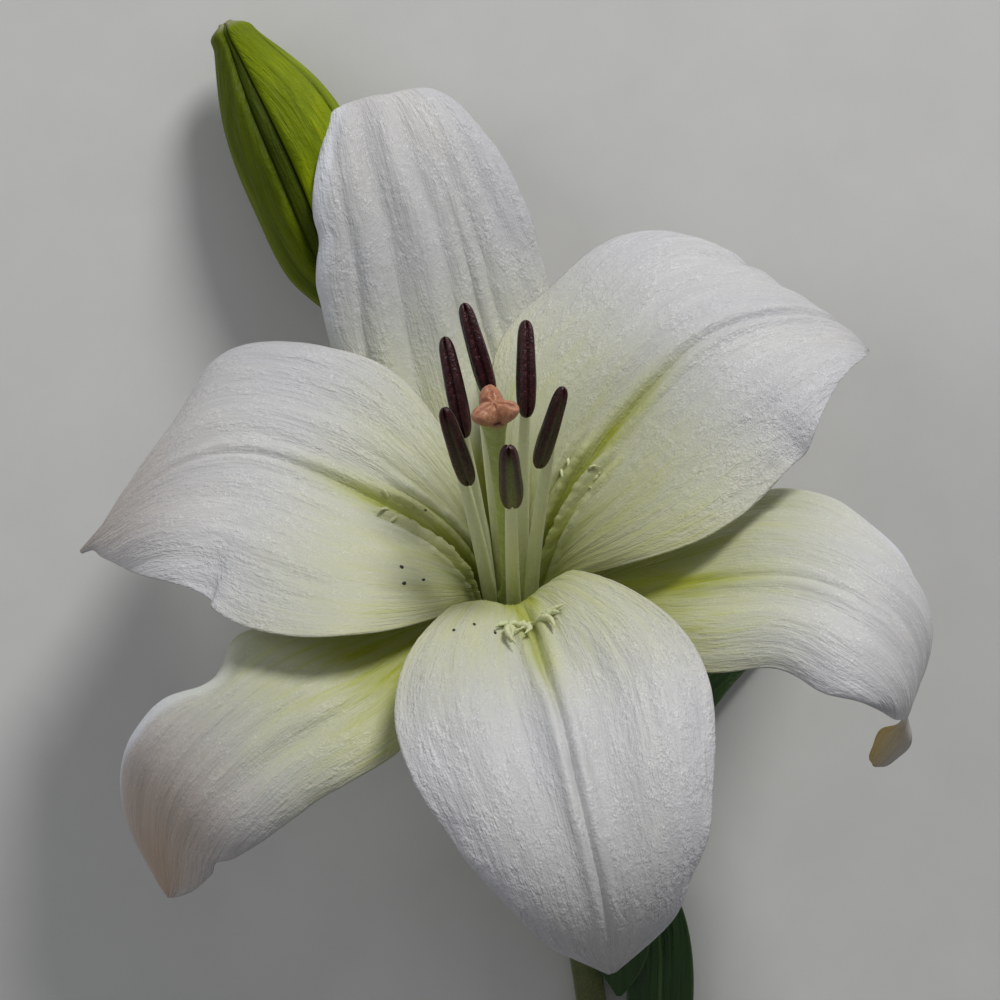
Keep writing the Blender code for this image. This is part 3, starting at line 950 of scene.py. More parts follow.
# %% Measures of the stamens: bearing, then the ends of the anther from the heart of the flower
STAMENS = {
    1: (102, (-5, 58.5, 45), (-11.5, 81, 48)),
    2: (162, (-11, 49, 48), (-16, 73, 50)),
    3: (222, (-10, 38, 50), (-16, 56, 63)),
    4: (42, (3.3, 53.8, 48), (3.2, 77, 48)),
    5: (342, (6, 42, 47), (12, 61, 58)),
    6: (282, (0, 33, 54), (-1, 47, 72)),
}
ANTHER_HALF_WIDTH = 2.2
ANTHER_HALF_DEPTH = 1.8
ANTHER_PROFILE = (0.80, 0.97, 1.05, 1.07, 1.04, 0.99, 0.93, 0.86, 0.76)
DOWN = np.array((0.0, 0.0, -1.0))


def behind(ahead):
    """The downward direction that is square to a stamen's anther, where its filament joins it."""
    return unit(DOWN - (DOWN @ ahead) * ahead)


# %% The skin of the anthers
anther_skin, tree, shader, place = start_material("anther_skin", 0.36)
vein = use_group(tree, veins, place, 1.4)
cell = use_group(tree, cells, place, 1.8)
dark = mix(tree, vein["Streak"], (0.020, 0.0020, 0.0035), (0.070, 0.006, 0.012))
# Painted highlight: the fine glint specks are painted a lighter, redder maroon, as reddish glints on the
# dark sacs.
painted_red_glints = mix(tree, ranged(tree, cell["Glint"], 0.0, 0.8), dark, (0.17, 0.016, 0.024))
seamed = mix(tree, mask(tree, "seam"), painted_red_glints, (0.010, 0.002, 0.002))
join(tree, mix(tree, mask(tree, "pale"), seamed, (0.26, 0.30, 0.10)), shader.inputs["Base Color"])
bump(tree, shader, cell["Height"], 0.16)
shader.inputs["Specular IOR Level"].default_value = 0.5
print("material:", anther_skin.name)

# %% Shape the six anthers: how broad each is, how far it is rolled over, and how pale its connective
BREADTH = {6: 1.18, 5: 0.9}
LEAN = {1: 0.1, 2: -0.2, 3: -0.3, 4: 0.35, 5: 0.55, 6: 0.0}
CONNECTIVE = {6: 1.0, 3: 0.25, 5: 0.35}


def anther(number, low, high):
    piece, flat = blank_pod(f"anther_{number}_sacs", 72, 96)
    ahead = unit(high - low)
    curve = behind(ahead) * 0.9
    middle = (low + high) / 2 - curve
    line = line_through((low, middle, high), -behind(ahead))
    share = flat[:, 2]
    size = curve_through(ANTHER_PROFILE, share) * np.sqrt(np.clip(1 - np.abs(2 * share - 1) ** 9, 0, 1))
    turn = turn_of(flat) + LEAN[number]
    sideways, upwards = np.cos(turn), np.sin(turn)
    notch = 1 + 2.2 * (smooth(0.86, 1.0, share) + 1 - smooth(0.0, 0.14, share))
    furrow = hump(sideways, 0.20) * np.where(upwards > 0, 0.38, 0.30) * notch
    split = 0.06 * hump(np.abs(sideways) - 0.93, 0.035)
    swell = 1 + 0.10 * hump(np.abs(sideways) - 0.62, 0.3)
    out = size * (swell - np.clip(furrow, 0, 0.85) - split)
    out = out * (1 + 0.025 * ripple(turn * 2, share * 23, 1.2, 5.0, number * 3.1))
    out = out * BREADTH.get(number, 1.0)
    grown = np.cos(LEAN[number]), np.sin(LEAN[number])
    across = out * (sideways * grown[0] + upwards * grown[1]) * ANTHER_HALF_WIDTH
    deep = out * (upwards * grown[0] - sideways * grown[1]) * ANTHER_HALF_DEPTH
    lay_along(piece, flat, line, across, deep)
    pale = CONNECTIVE.get(number, 0.0) * hump(sideways, 0.3) * (upwards > 0) * smooth(0.0, 0.3, 1 - share)
    store(piece, "pale", pale)
    store(piece, "seam", np.clip(hump(np.abs(sideways) - 0.93, 0.06) + 0.6 * hump(sideways, 0.10), 0, 1))
    hand_over(piece, anther_skin, "anther", f"anther_{number}")


for number, (_, low, high) in STAMENS.items():
    anther(number, HEART + np.array(low, float), HEART + np.array(high, float))

# %% [markdown]
# ### Filaments
#
# A filament is a soft, slightly flattened stalk, about 3.5 mm wide where it leaves the throat and fine as a
# thread at the point that carries the anther. It is pale green and a little translucent.

# %% The skin of the filaments
filament_skin, tree, shader, place = start_material("filament_skin", 0.45)
vein = use_group(tree, veins, place, 1.6)
young = mix(tree, mask(tree, "low"), (0.80, 0.82, 0.58), (0.56, 0.61, 0.18))
join(tree, mix(tree, vein["Streak"], young, (0.84, 0.85, 0.64)), shader.inputs["Base Color"])
bump(tree, shader, vein["Height"], 0.10)
translucent(shader, 0.15, 1.5, (0.9, 1.0, 0.5))
print("material:", filament_skin.name)

# %% Shape the six filaments
FILAMENT_HALF_WIDTH = (1.75, 1.75, 1.6, 1.3, 0.9, 0.4)
FILAMENT_HALF_DEPTH = (1.2, 1.2, 1.15, 1.0, 0.8, 0.4)
FILAMENT_STAND_OFF = 3.1
FILAMENT_TIP_RISE = 2.2
STAMEN_RING = 4.5

for number, (bearing, low, high) in STAMENS.items():
    angle = math.radians(bearing)
    away = math.cos(angle) * RIGHT + math.sin(angle) * BACK
    low, high = HEART + np.array(low, float), HEART + np.array(high, float)
    under = behind(unit(high - low))
    foot = HEART + 0.3 * AXIS + STAMEN_RING * away
    top = (low + high) / 2 + under * (FILAMENT_STAND_OFF - FILAMENT_TIP_RISE)
    elbow = (low + high) / 2 + under * FILAMENT_STAND_OFF
    lean = foot + (elbow - foot) * 0.45 - away * 1.0
    shoulder = elbow + (foot - elbow) * 0.12 + under * 1.0
    piece, flat = blank_rod(f"filament_{number}_stalk", 48, 90)
    line = line_through((foot, lean, shoulder, top), -under)
    width = curve_through(FILAMENT_HALF_WIDTH, flat[:, 2])
    depth = curve_through(FILAMENT_HALF_DEPTH, flat[:, 2])
    keel = 1 + 0.06 * np.cos(3 * turn_of(flat) + number)
    lay_along(piece, flat, line, flat[:, 0] * width * keel, flat[:, 1] * depth * keel)
    store(piece, "low", 1 - smooth(0.0, 0.38, flat[:, 2]))
    hand_over(piece, filament_skin, "filament", f"filament_{number}")

# %% [markdown]
# ### Pistil
#
# The pistil is one piece: the ovary deep in the throat, the long style that widens like a trumpet's tube,
# and the stigma on top, three swollen lobes with a cleft down each. The stigma is salmon and moist.

# %% The skin of the pistil
pistil_skin, tree, shader, place = start_material("pistil_skin", 0.40)
vein = use_group(tree, veins, place, 1.2)
cell = use_group(tree, cells, place, 1.6)
style = mix(tree, vein["Streak"], (0.42, 0.50, 0.13), (0.60, 0.66, 0.28))
salmon = mix(tree, ranged(tree, cell["Height"], 0.2, 1.1), (0.42, 0.15, 0.065), (0.68, 0.34, 0.20))
cleft = mix(tree, mask(tree, "cleft"), salmon, (0.36, 0.12, 0.06))
join(tree, mix(tree, mask(tree, "stigma"), style, cleft), shader.inputs["Base Color"])
bump(tree, shader, cell["Height"], 0.13)
translucent(shader, 0.12, 1.5, (1.0, 0.6, 0.3))
coat(shader, 0.10, 0.35)
print("material:", pistil_skin.name)

# %% Shape the ovary and the style
STYLE_PROFILE = (
    (0.0, 2.0), (0.03, 2.7), (0.19, 2.6), (0.25, 1.35), (0.45, 1.15), (0.68, 1.4), (0.84, 2.0),
    (0.94, 2.8), (1.0, 3.9),
)
STIGMA_FROM = 85.5

piece, flat = blank_rod("pistil_style", 72)
line = line_through((HEART + 0.5 * AXIS, HEART + STIGMA_FROM * AXIS), BACK)
radius = np.interp(flat[:, 2], *zip(*STYLE_PROFILE))
turn = turn_of(flat)
radius = radius * (1 + 0.07 * np.cos(3 * turn) * np.where(flat[:, 2] < 0.22, 2.0, 1.0))
lay_along(piece, flat, line, flat[:, 0] * radius, flat[:, 1] * radius)
store(piece, "stigma", 0.9 * smooth(0.975, 1.0, flat[:, 2]))
store(piece, "cleft", flat[:, 2] * 0)
hand_over(piece, pistil_skin, "pistil", "pistil")

# %% Shape the stigma
STIGMA_RADIUS = 6.2
STIGMA_HALF_HEIGHT = 2.5
LOBE_TURN = math.radians(102)

piece, flat = blank_pod("pistil_stigma", 144, 72)
turn = turn_of(flat)
height = -np.cos(np.pi * flat[:, 2])
ring = np.sin(np.pi * flat[:, 2]) ** 0.6
lobe = np.cos(3 * (turn - LOBE_TURN))
out = STIGMA_RADIUS * ring * (0.80 + 0.20 * lobe)
between = hump(lobe + 1, 0.25) * ring
from_cleft = np.angle(np.exp(3j * (turn - LOBE_TURN))) / 3 * out
slit = hump(from_cleft, 0.42) * smooth(0.2, 0.9, height) * (out > 0.3)
rise = STIGMA_HALF_HEIGHT * height + 0.9 * ring * np.clip(lobe, -1, 1)
rise = rise - 0.45 * slit - 0.7 * between * (height > 0) + 0.3 * ripple(turn * 3, out, 1.0, 1.4, 7.7)
placed = HEART + (STIGMA_FROM + 1.6 + rise)[:, None] * AXIS
placed = placed + (np.cos(turn) * out)[:, None] * RIGHT + (np.sin(turn) * out)[:, None] * BACK
move_points(piece, placed)
bpy.ops.object.shade_smooth()
store(piece, "straight", np.stack((np.cos(turn) * out, rise, np.sin(turn) * out), -1))
store(piece, "stigma", smooth(-0.85, -0.25, height))
store(piece, "cleft", np.clip(slit * 0.8, 0, 1))
hand_over(piece, pistil_skin, "pistil")

# %% [markdown]
# ## The crests and specks in the throat
#
# At the foot of each inner petal a groove holds nectar. Its rims carry small fleshy fringes, like the
# fingers of a glove, and near them stand a few dark raised specks. Each finger is a short rod that lies
# along the petal, so its foot, its middle and its end are each set over the surface that was made above.

# %% Find a place on a petal
def place_on(name, part, across):
    """The point and the surface's three directions there. part runs from base to tip; across is in mm."""
    surface = surfaces[name]
    row = int(round(part * ROWS))
    column = int(np.argmin(np.abs(surface["across"][row] - across)))
    points, up = surface["points"], surface["normals"][row, column]
    ahead = unit(points[min(row + 2, ROWS), column] - points[row - 2, column])
    side = np.cross(ahead, up)
    return points[row, column], side, ahead, up


# %% Join several small pieces into one
def join_pieces(pieces, name):
    select_nothing()
    for piece in pieces:
        piece.select_set(True)
    bpy.context.view_layer.objects.active = pieces[0]
    bpy.ops.object.join()
    joined = bpy.context.active_object
    name_piece(joined, name)
    return joined


# %% The flesh of the crests
crest_skin, tree, shader, place = start_material("crest_skin", 0.5)
cell = use_group(tree, cells, place, 2.0)
join(tree, mix(tree, cell["Glint"], (0.70, 0.73, 0.42), (0.84, 0.86, 0.68)), shader.inputs["Base Color"])
bump(tree, shader, cell["Height"], 0.05)
translucent(shader, 0.1, 1.0)
print("material:", crest_skin.name)

# %% Fingers of the crests: place along the petal, across it, length, lean sideways, lean along, thickness
CRESTS = {
    "petal_front": (
        (0.340, 6.2, 8.0, 0.5, 0.8, 0.80), (0.350, 5.2, 15.0, 0.1, 1.6, 1.00),
        (0.350, 4.4, 21.0, 0.0, 1.9, 1.20), (0.350, 4.0, 14.0, 0.3, 1.7, 0.95),
        (0.345, 3.4, 18.0, -0.1, 1.8, 1.05), (0.340, 2.6, 10.0, 0.2, 1.4, 0.90),
        (0.335, 1.6, 6.0, 0.4, 0.9, 0.75), (0.332, 0.4, 5.0, -0.3, 1.0, 0.75),
        (0.335, -0.8, 7.0, -0.3, 1.3, 0.80), (0.345, -1.8, 12.0, -0.3, 1.7, 1.00),
        (0.350, -2.4, 16.0, -0.5, 1.7, 1.10), (0.340, -2.8, 8.0, -0.7, 1.1, 0.85),
        (0.345, -3.4, 12.0, -0.9, 1.0, 0.95), (0.340, -4.0, 10.0, -1.2, 0.5, 0.85),
        (0.342, -4.8, 9.0, -1.3, 0.7, 0.80), (0.346, 1.0, 13.0, 0.6, 1.5, 0.90),
        (0.338, 4.8, 11.0, 0.9, 1.2, 0.85), (0.336, -3.6, 15.0, -1.0, 0.9, 0.80),
    ),
    "petal_right": (
        (0.315, -2.8, 6.0, -0.8, 1.6, 0.55), (0.300, -3.0, 5.0, -1.0, 1.2, 0.50),
        (0.325, 4.0, 6.0, 0.5, 1.8, 0.55), (0.335, 3.2, 5.0, 0.3, 1.8, 0.50),
        (0.305, 4.6, 5.0, 0.9, 1.3, 0.50),
    ),
    "petal_left": (
        (0.335, -2.6, 6.0, -0.6, 1.7, 0.55), (0.320, -3.2, 5.0, -0.9, 1.4, 0.55),
        (0.345, 2.0, 5.0, 0.4, 1.8, 0.50),
    ),
}
FINGER_GROWTH = 0.82
print("fingers:", sum(len(fingers) for fingers in CRESTS.values()))


# %% A finger that stands over the petal from its foot to its end
def above(name, part, across, height):
    """A point at this height over the petal, in millimetres, and the direction away from the petal there."""
    point, _, _, up = place_on(name, part, across)
    return point + height * up, up


def finger(name, petal, part, across, length, lean_side, lean_ahead, thick, seed):
    piece, flat = blank_pod(name, 14, 28)
    along = 0.3 * length * lean_ahead / surfaces[petal]["length"]
    aside = 0.5 * length * lean_side
    sway = 0.12 * length * math.sin(seed * 2.1)
    clear = thick + 0.09 * length
    foot, up = above(petal, part, across, 0.75 * thick)
    middle, _ = above(petal, part + 0.5 * along, across + 0.5 * aside + sway, clear)
    end, _ = above(petal, part + along, across + aside, clear)
    line = line_through((foot, middle, end), up, 40)
    knobs = ripple(flat[:, 2] * length, flat[:, 0], 0.9, 1.0, seed)
    size = thick * (1.0 - 0.7 * flat[:, 2] + 0.40 * knobs) * np.sin(np.pi * flat[:, 2]) ** 0.35
    lay_along(piece, flat, line, flat[:, 0] * size, flat[:, 1] * size)
    return piece


# %% Grow the crests
for name, fingers in CRESTS.items():
    made = []
    for k, (part, across, length, *rest) in enumerate(fingers):
        made.append(finger(f"finger_{k}", name, part, across, FINGER_GROWTH * length, *rest, k + 1.7))
    hand_over(join_pieces(made, name + "_crest"), crest_skin, "petal")

# %% The dark specks
speck_skin, tree, shader, place = start_material("speck_skin", 0.45)
fleck = noise_node(tree, place, 3.0)
join(tree, mix(tree, fleck, (0.012, 0.008, 0.006), (0.06, 0.035, 0.02)), shader.inputs["Base Color"])
SPECKS = {
    "petal_front": ((0.355, 18.2, 0.32), (0.345, 13.1, 0.34), (0.365, 8.6, 0.36)),
    "petal_left": ((0.285, -18.2, 0.42), (0.275, -23.5, 0.42), (0.25, -18.3, 0.36), (0.285, 3.4, 0.24)),
    "petal_right": ((0.28, -14.1, 0.30),),
}
for name, spots in SPECKS.items():
    made = []
    for k, (part, across, size) in enumerate(spots):
        root, side, ahead, up = place_on(name, part, across)
        piece, flat = blank_pod(f"speck_{k}", 16, 12)
        turn = turn_of(flat)
        ring = size * np.sin(np.pi * flat[:, 2]) * (1 + 0.2 * np.cos(2 * turn + k) * (flat[:, 0] != 0))
        rise = -np.cos(np.pi * flat[:, 2]) * size * 0.8
        placed = root + 0.5 * up + (np.cos(turn) * ring)[:, None] * side
        placed = placed + (np.sin(turn) * ring * 1.5)[:, None] * ahead + rise[:, None] * up
        move_points(piece, placed)
        store(piece, "straight", flat * 3.0)
        made.append(piece)
    specks = join_pieces(made, name + "_specks")
    bpy.ops.object.shade_smooth()
    hand_over(specks, speck_skin, "anther")

# %% [markdown]
# ## The bud
#
# In the closed bud the three outer petals meet edge to edge like the panels of a ball, and between them the
# thick middle ribs of the inner three show as narrow strips. Each panel is a sheet rolled round the bud's
# own axis. Its edges turn in at the seams, its middle carries a rib, and its tip thickens to a knob. The
# panel that faces up is painted a lighter yellow-green as painted light, and the other two a darker green as
# painted shade.

# %% Measures of the bud
BUD_SHIFT = np.array((-39.0, 82.0, 16.6 - 40.0))
BUD_REACH = np.array((-33.2, 73.0, -1.4))
BUD_RADII = (5.0, 11.5, 14.4, 15.0, 14.6, 12.5, 8.4, 3.0)
BUD_BOW = 3.2
BUD_TURN = 50
BUD_CREASE = -2.8
KEEL_SPAN = 12
bud_base = HEART + BUD_SHIFT
bud_length = float(np.linalg.norm(BUD_REACH))
bud_ahead = unit(BUD_REACH)
bud_across = unit(np.cross(bud_ahead, (0, 0, 1)))
bud_over = np.cross(bud_across, bud_ahead)

# %% The skin of the bud
bud_skin, tree, shader, place = start_material("bud_skin", 0.5)
vein = use_group(tree, veins, place, 1.1, 2.4)
cell = use_group(tree, cells, place, 1.3)
# Painted light and shade: each panel mixes a darker green, painted shade, with a lighter yellow-green,
# painted light, by its stored share of light.
painted_shade_green = mix(tree, vein["Streak"], (0.048, 0.074, 0.0003), (0.115, 0.158, 0.0006))
painted_lit_green = mix(tree, vein["Streak"], (0.19, 0.27, 0.0004), (0.42, 0.51, 0.0012))
deep = mix(tree, mask(tree, "painted_light"), painted_shade_green, painted_lit_green)
broad = ranged(tree, patches(tree, place, (0.22, 0.05, 0.22), 2.0), 0.35, 0.65, 0.0, 0.6)
green = mix(tree, broad, deep, (0.105, 0.150, 0.0005))
ribbed = mix(tree, mask(tree, "rib"), green, (0.30, 0.38, 0.002))
# The seam mask darkens the seams, the crease and the keel strips: partly their own dark line, partly painted
# shade in these sunken places.
seamed = mix(tree, mask(tree, "seam"), ribbed, (0.014, 0.022, 0.002))
join(tree, mix(tree, mask(tree, "tip"), seamed, (0.42, 0.40, 0.26)), shader.inputs["Base Color"])
bump(tree, shader, stacked(tree, vein["Height"], cell["Height"], 0.5), 0.28)
shader.inputs["Specular IOR Level"].default_value = 0.12
print("material:", bud_skin.name)

# %% Roll one panel of the bud
BUD_ROWS = 150
# How much painted light each outer panel gets: the one that faces up is painted lit, the other two shaded.
BUD_PAINTED_LIGHT = (1.0, 0.15, 0.3)
BUD_WALL = 1.4
SPAN_OF_THREE = 119


def bud_panel(name, turn, span, columns, keel, painted_light, *nodes):
    piece, row, column = blank_sheet(name, columns, BUD_ROWS)
    part = (row / BUD_ROWS) ** 0.97
    share = column / columns * 2 - 1
    angle = math.radians(turn) + share * math.radians(span) / 2
    radius = curve_through(BUD_RADII, part)
    girth = radius * share * math.radians(span) / 2
    closing = 1 - 0.85 * smooth(0.955, 1.0, part) ** 2
    edge = np.abs(share)
    if keel:
        raised = -1.7 + 0.8 * np.cos(share * math.pi / 2) + 0.2 * ripple(girth, part * 80, 1.5, 18.0, turn)
        raised = raised - 1.2 * smooth(0.75, 1.0, edge)
        # A keel strip takes a share of the dark seam colour all over: painted shade for where it lies sunken
        # between the panels.
        rib, seam = 0.1 * hump(share, 0.4), 0.35 + 0.65 * smooth(0.4, 1.0, edge)
    else:
        wander = 1.2 * ripple(part * 80, part * 0, 20.0, 1.0, turn)
        open_part = smooth(0.03, 0.2, part)
        open_part = open_part * (1 - 0.7 * smooth(0.7, 1.0, part))
        crease = hump(girth - wander - BUD_CREASE, 0.5) * open_part * (painted_light > 0.5)
        raised = 1.0 * hump(girth - wander, 4.5) * open_part - 0.9 * crease
        raised = raised + 0.25 * hump(np.abs(girth) - 8.5, 2.4) * open_part
        raised = raised + 0.30 * ripple(girth, part * 80, 2.4, 20.0, turn + 2) * open_part
        raised = raised - 2.8 * smooth(0.78, 1.0, edge) ** 1.5
        rib = 0.45 * hump(girth - wander, 3.4) + 0.2 * hump(np.abs(girth) - 8.5, 1.8) * open_part
        seam = np.clip(0.75 * crease + smooth(0.86, 1.0, edge), 0, 1)
    radius = (radius + raised * smooth(0.0, 0.06, part)) * closing
    bow = BUD_BOW * np.sin(np.pi * part)
    knob = 0.9 * smooth(0.93, 0.985, part) * (0.0 if keel else 1.0)
    middle = bud_base + np.outer(part * bud_length, bud_ahead) + np.outer(bow, bud_across)
    facing = math.cos(math.radians(turn)) * bud_across + math.sin(math.radians(turn)) * bud_over
    spoke = np.outer(np.cos(angle), bud_across) + np.outer(np.sin(angle), bud_over)
    move_points(piece, middle + radius[:, None] * spoke + np.outer(knob, facing))
    store(piece, "straight", np.stack((girth, part * bud_length, girth * 0 + turn), -1))
    store(piece, "rib", np.clip(rib * (1 - 0.6 * part), 0, 1))
    store(piece, "seam", seam)
    store(piece, "tip", smooth(0.965, 1.0, part) * (0.2 if keel else 0.8))
    store(piece, "painted_light", girth * 0 + painted_light)
    thicken(piece, 0.55 + 0.45 * smooth(0.9, 1.0, part), BUD_WALL)
    hand_over(piece, bud_skin, "bud", *nodes)


for k in range(3):
    turn = BUD_TURN + 120 * k
    panel, sepal = f"bud_panel_{k + 1}", f"bud_sepal_{k + 1}"
    bud_panel(panel, turn, SPAN_OF_THREE - KEEL_SPAN, 96, False, BUD_PAINTED_LIGHT[k], sepal)
    bud_panel(f"bud_keel_{k + 1}", turn + 60, KEEL_SPAN + 8, 32, True, 0.0, f"bud_petal_{k + 1}")

# %% [markdown]
# ## Stem, stalks and leaves
#
# The stem is round, hard and brown-green, paler where it was cut. It forks into the bud's thin stalk and the
# flower's stalk, which swells just below the petals. A stalk is `young` green towards its flower, and has a
# pale `bloom` on the swelling at its end. Lily leaves have no stalk of their own. They are long, pointed and
# glossy, with parallel veins and a channel along the middle.

# %% The skin of the stems
stem_skin, tree, shader, place = start_material("stem_skin", 0.45)
vein = use_group(tree, veins, place, 1.3)
cell = use_group(tree, cells, place, 0.9)
bark = mix(tree, vein["Streak"], (0.085, 0.062, 0.028), (0.17, 0.12, 0.055))
mottled = mix(tree, ranged(tree, cell["Glint"], 0.1, 0.8), bark, (0.13, 0.075, 0.045))
young = mix(tree, mask(tree, "young", 0.9), mottled, (0.16, 0.24, 0.05))
fleshy = mix(tree, mask(tree, "bloom"), young, (0.44, 0.50, 0.18))
join(tree, mix(tree, mask(tree, "cut"), fleshy, (0.50, 0.52, 0.28)), shader.inputs["Base Color"])
bump(tree, shader, stacked(tree, vein["Height"], cell["Height"], 0.6), 0.3)
coat(shader, 0.08, 0.4)
print("material:", stem_skin.name)

# %% Routes of the stem and the two stalks, from the heart of the flower
CAD_HEART = np.array((0.0, 0.0, 40.0))
STEM = ((34, -200, 3.8), (27, -145, 3.8), (20, -90, 3.9), (14, -54, 5.0))
STEM_RADII = (3.8, 3.8, 3.8, 4.9)
FLOWER_STALK = ((9.5, -38, 8.5), (4, -24, 16))
FLOWER_STALK_RADII = (2.2, 2.4, 2.5, 2.7, 3.4, 9.6)
BUD_STALK = ((1, -30, 2.8), (-13, 8, 4.5), (-28, 50, 11.5), (-34.5, 72, 16.6))
BUD_STALK_RADII = (1.9, 2.1, 2.1, 2.2, 2.6, 5.2)
stem_route = np.array(STEM, float)
ahead = unit(stem_route[-1] - curve_through(stem_route, np.array([0.97]))[0])
across = unit(np.cross(ahead, (0, 0, 1)))
fork = stem_route[-1] + 0.2 * ahead
neck = [CAD_HEART - 12 * depth * AXIS for depth in (2, 1)]
flower_route = [fork + across * 2.5, *FLOWER_STALK, *neck, CAD_HEART - 0.4 * AXIS]
bud_route = [fork - across * 2.5, *BUD_STALK, bud_base - HEART + CAD_HEART - 0.3 * bud_ahead]


# %% Shape a stem: rings with low ridges, swellings where leaves were, and a cut end
def stem_piece(name, route, radii, sides, seed, swellings, cut, young, *nodes):
    piece, flat = blank_rod(name, sides)
    line = line_through(np.array(route) + HEART - CAD_HEART, (0, 0, 1))
    length = length_of(line[0])
    turn = turn_of(flat)
    radius = curve_through(radii, flat[:, 2])
    ridges = 0.018 * np.cos(7 * turn + 2 * flat[:, 2])
    ridges = ridges + 0.02 * ripple(turn * 3, flat[:, 2] * length, 2.0, 14.0, seed)
    radius = radius * (1 + ridges)
    for place, size in swellings:
        radius = radius * (1 + size * hump(flat[:, 2] * length - place, 2.2))
    lay_along(piece, flat, line, flat[:, 0] * radius, flat[:, 1] * radius)
    store(piece, "cut", cut * (1 - smooth(0.0, 0.35, flat[:, 2] * length)))
    store(piece, "young", young + (1 - young) * smooth(0.3, 1.0, flat[:, 2]))
    store(piece, "bloom", smooth(0.86, 1.0, flat[:, 2]) * (young > 0))
    hand_over(piece, stem_skin, "stem", *nodes)


STEM_SWELLINGS = ((62.0, 0.05), (90.0, 0.05), (137.0, 0.04), (142.0, 0.05))
stem_piece("stem_skin_piece", STEM, STEM_RADII, 96, 3.1, STEM_SWELLINGS, 1.0, 0.0, "stem")
stem_piece("flower_stalk_piece", flower_route, FLOWER_STALK_RADII, 96, 5.2, (), 0.0, 0.45, "flower_stalk")
stem_piece("bud_stalk_piece", bud_route, BUD_STALK_RADII, 72, 6.7, (), 0.0, 0.35, "bud_stalk")

# %% Measures of the leaves: half-width, angle of the channel at the base, and the way each one goes
LEAVES = {
    "leaf_1": (9, 14, ((15.5, -58, 10.0), (21.5, -64, 14.5), (27, -76, 12), (27.5, -92, 6))),
    "leaf_2": (8.5, 10, ((21.6, -67, 4.3), (35, -66, 8), (38, -92, 5), (35, -142, 0.6))),
    "leaf_3": (7, 12, ((21.0, -57, 5.5), (32, -38, 10), (48, -13, 7), (74, 6, 0.6))),
    "leaf_4": (8, 12, ((17.8, -112, 4), (2, -126, 8), (-13, -150, 5), (-26, -182, 0.6))),
    "leaf_5": (8, 12, ((31.8, -138, 4), (45, -149, 8), (54, -174, 5), (58, -204, 0.6))),
}
LEAF_SHAPE = (0.28, 0.75, 1.0, 0.92, 0.62, 0.08)
LEAF_THICKNESS = 0.75
LEAF_ROWS = 150
LEAF_COLUMNS = 48
print("leaves:", len(LEAVES))

# %% The skin of the leaves
leaf_skin, tree, shader, place = start_material("leaf_skin", 0.36)
vein = use_group(tree, veins, place, 1.1)
cell = use_group(tree, cells, place, 1.6)
blade_green = mix(tree, vein["Streak"], (0.009, 0.040, 0.004), (0.038, 0.105, 0.009))
patch = ranged(tree, patches(tree, place, (0.12, 0.05, 0.12), 2.0), 0.3, 0.7)
leafy = mix(tree, patch, blade_green, (0.020, 0.076, 0.007))
veined = mix(tree, mask(tree, "rib"), leafy, (0.10, 0.20, 0.05))
join(tree, mix(tree, mask(tree, "margin"), veined, (0.12, 0.20, 0.06)), shader.inputs["Base Color"])
join(tree, ranged(tree, cell["Height"], 0.3, 1.4, 0.30, 0.44), shader.inputs["Roughness"])
bump(tree, shader, stacked(tree, vein["Height"], cell["Height"], 0.3), 0.3)
coat(shader, 0.2, 0.3)
print("material:", leaf_skin.name)

# %% Shape the five leaves
for name, (half_width, channel, path) in LEAVES.items():
    path = np.array(path, float) + HEART - CAD_HEART
    fine = curve_through(path, np.linspace(0, 1, 300))
    ahead = np.gradient(fine, axis=0)
    line, side, up, along = evenly(fine, np.cross(ahead, (0, 0, 1)), LEAF_ROWS)
    part = np.linspace(0, 1, LEAF_ROWS + 1)
    widths = curve_through(LEAF_SHAPE, part) * half_width
    fold = channel * (1 - part)
    half = (widths, fold, fold * 0, fold * 0, 0.8)
    points, across, share = blade(line, side, up, (half, half), LEAF_COLUMNS)
    along = np.broadcast_to(along[:, None], across.shape)
    seed = half_width * 3.3 + path[0, 1]
    lift = smooth(0.05, 0.2, part)[:, None] * (1 - smooth(0.85, 1.0, part))[:, None]
    raised = 0.10 * np.cos(across * 2 * np.pi / 1.9) * (1 - np.abs(share) ** 4) - 0.35 * hump(across, 0.8)
    raised = raised + 0.5 * (1 + ripple(across * 0.2, along, 4.0, 16.0, seed)) * np.abs(share) ** 3
    points = points + (raised * lift)[..., None] * normals_of(points)
    piece, row, column = blank_sheet(name + "_blade", LEAF_COLUMNS, LEAF_ROWS)
    move_points(piece, points[row, column])
    flat = np.stack((across, along, across * 0 + seed), -1)
    store(piece, "straight", flat[row, column])
    store(piece, "rib", (0.8 * hump(across, 0.45) * (1 - part[:, None] ** 2))[row, column])
    store(piece, "margin", (smooth(0.93, 1.0, np.abs(share)) * 0.7)[row, column])
    thicken(piece, (0.45 + 0.55 * (1 - np.abs(share) ** 2))[row, column], LEAF_THICKNESS)
    hand_over(piece, leaf_skin, "leaf", name)

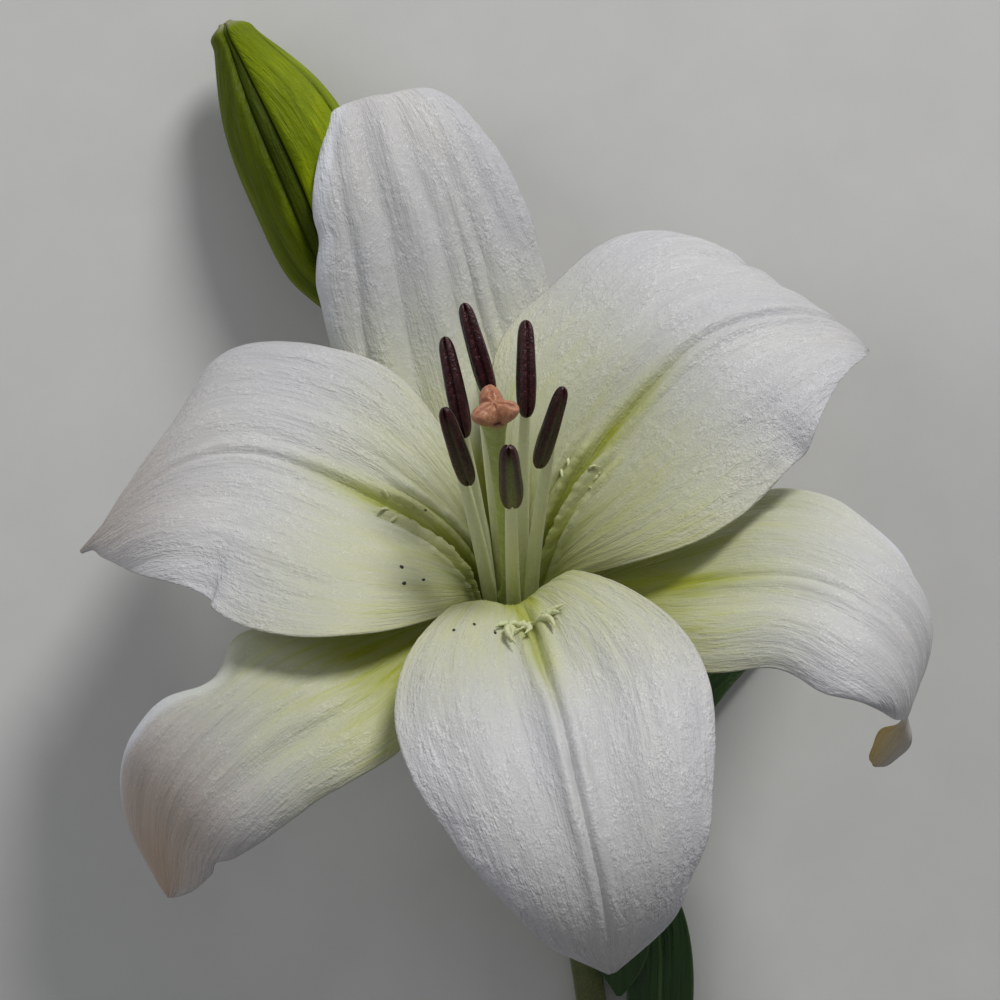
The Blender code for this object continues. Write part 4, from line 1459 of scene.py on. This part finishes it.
# %% [markdown]
# ## The surface, the light and the view
#
# The stem lies on a plain pale table. One large soft lamp stands low beyond the flower and to its right, as
# a window would, and a weak one on the left keeps the shadows open. The camera looks straight down through
# a long lens, so the flower isn't distorted, and its centre is set off a little from the flower's heart.

# %% The table
select_nothing()
bpy.ops.mesh.primitive_plane_add(size=6)
table = bpy.context.active_object
table.name = "table"
table_paint, tree, shader, _ = start_material("table_paint", 0.7)
spot = node(tree, "ShaderNodeTexCoord").outputs["Object"]
grain = noise_node(tree, spot, 40.0, 4.0, 0.6)
paint = mix(tree, ranged(tree, grain, 0.3, 0.7), (0.82, 0.82, 0.815), (0.86, 0.86, 0.855))
join(tree, paint, shader.inputs["Base Color"])
table.data.materials.append(table_paint)
print("stage:", table.name)


# %% The lamps and the room
def soft_lamp(name, place, size, power, colour):
    lamp = bpy.data.lights.new(name, "AREA")
    lamp.shape = "DISK"
    lamp.size = size
    lamp.energy = power
    lamp.color = colour
    holder = bpy.data.objects.new(name, lamp)
    bpy.context.scene.collection.objects.link(holder)
    holder.location = place
    holder.rotation_euler = (Vector(HEART * MM) - Vector(place)).to_track_quat("-Z", "Y").to_euler()
    print("lamp:", name)


soft_lamp("window", (0.55, 1.55, 0.95), 0.6, 19.0, (1.0, 0.985, 0.96))
soft_lamp("bounce", (-1.1, 0.5, 0.9), 1.0, 2.5, (0.97, 0.98, 1.0))
room = bpy.data.worlds.new("room")
room.use_nodes = True
room.node_tree.nodes["Background"].inputs["Color"].default_value = (0.96, 0.98, 1.0, 1)
room.node_tree.nodes["Background"].inputs["Strength"].default_value = 0.15
bpy.context.scene.world = room
bpy.context.scene.view_settings.view_transform = "Standard"
print("room:", room.name)

# %% The camera
CAMERA_FROM_HEART = np.array((-2.88, 34.5, 1030.0))
lens = bpy.data.cameras.new("camera")
lens.lens = 150
lens.sensor_width = 36
camera = bpy.data.objects.new("camera", lens)
bpy.context.scene.collection.objects.link(camera)
camera.location = Vector((HEART + CAMERA_FROM_HEART) * MM)
bpy.context.scene.camera = camera
print("camera at, m:", [round(x, 3) for x in camera.location])
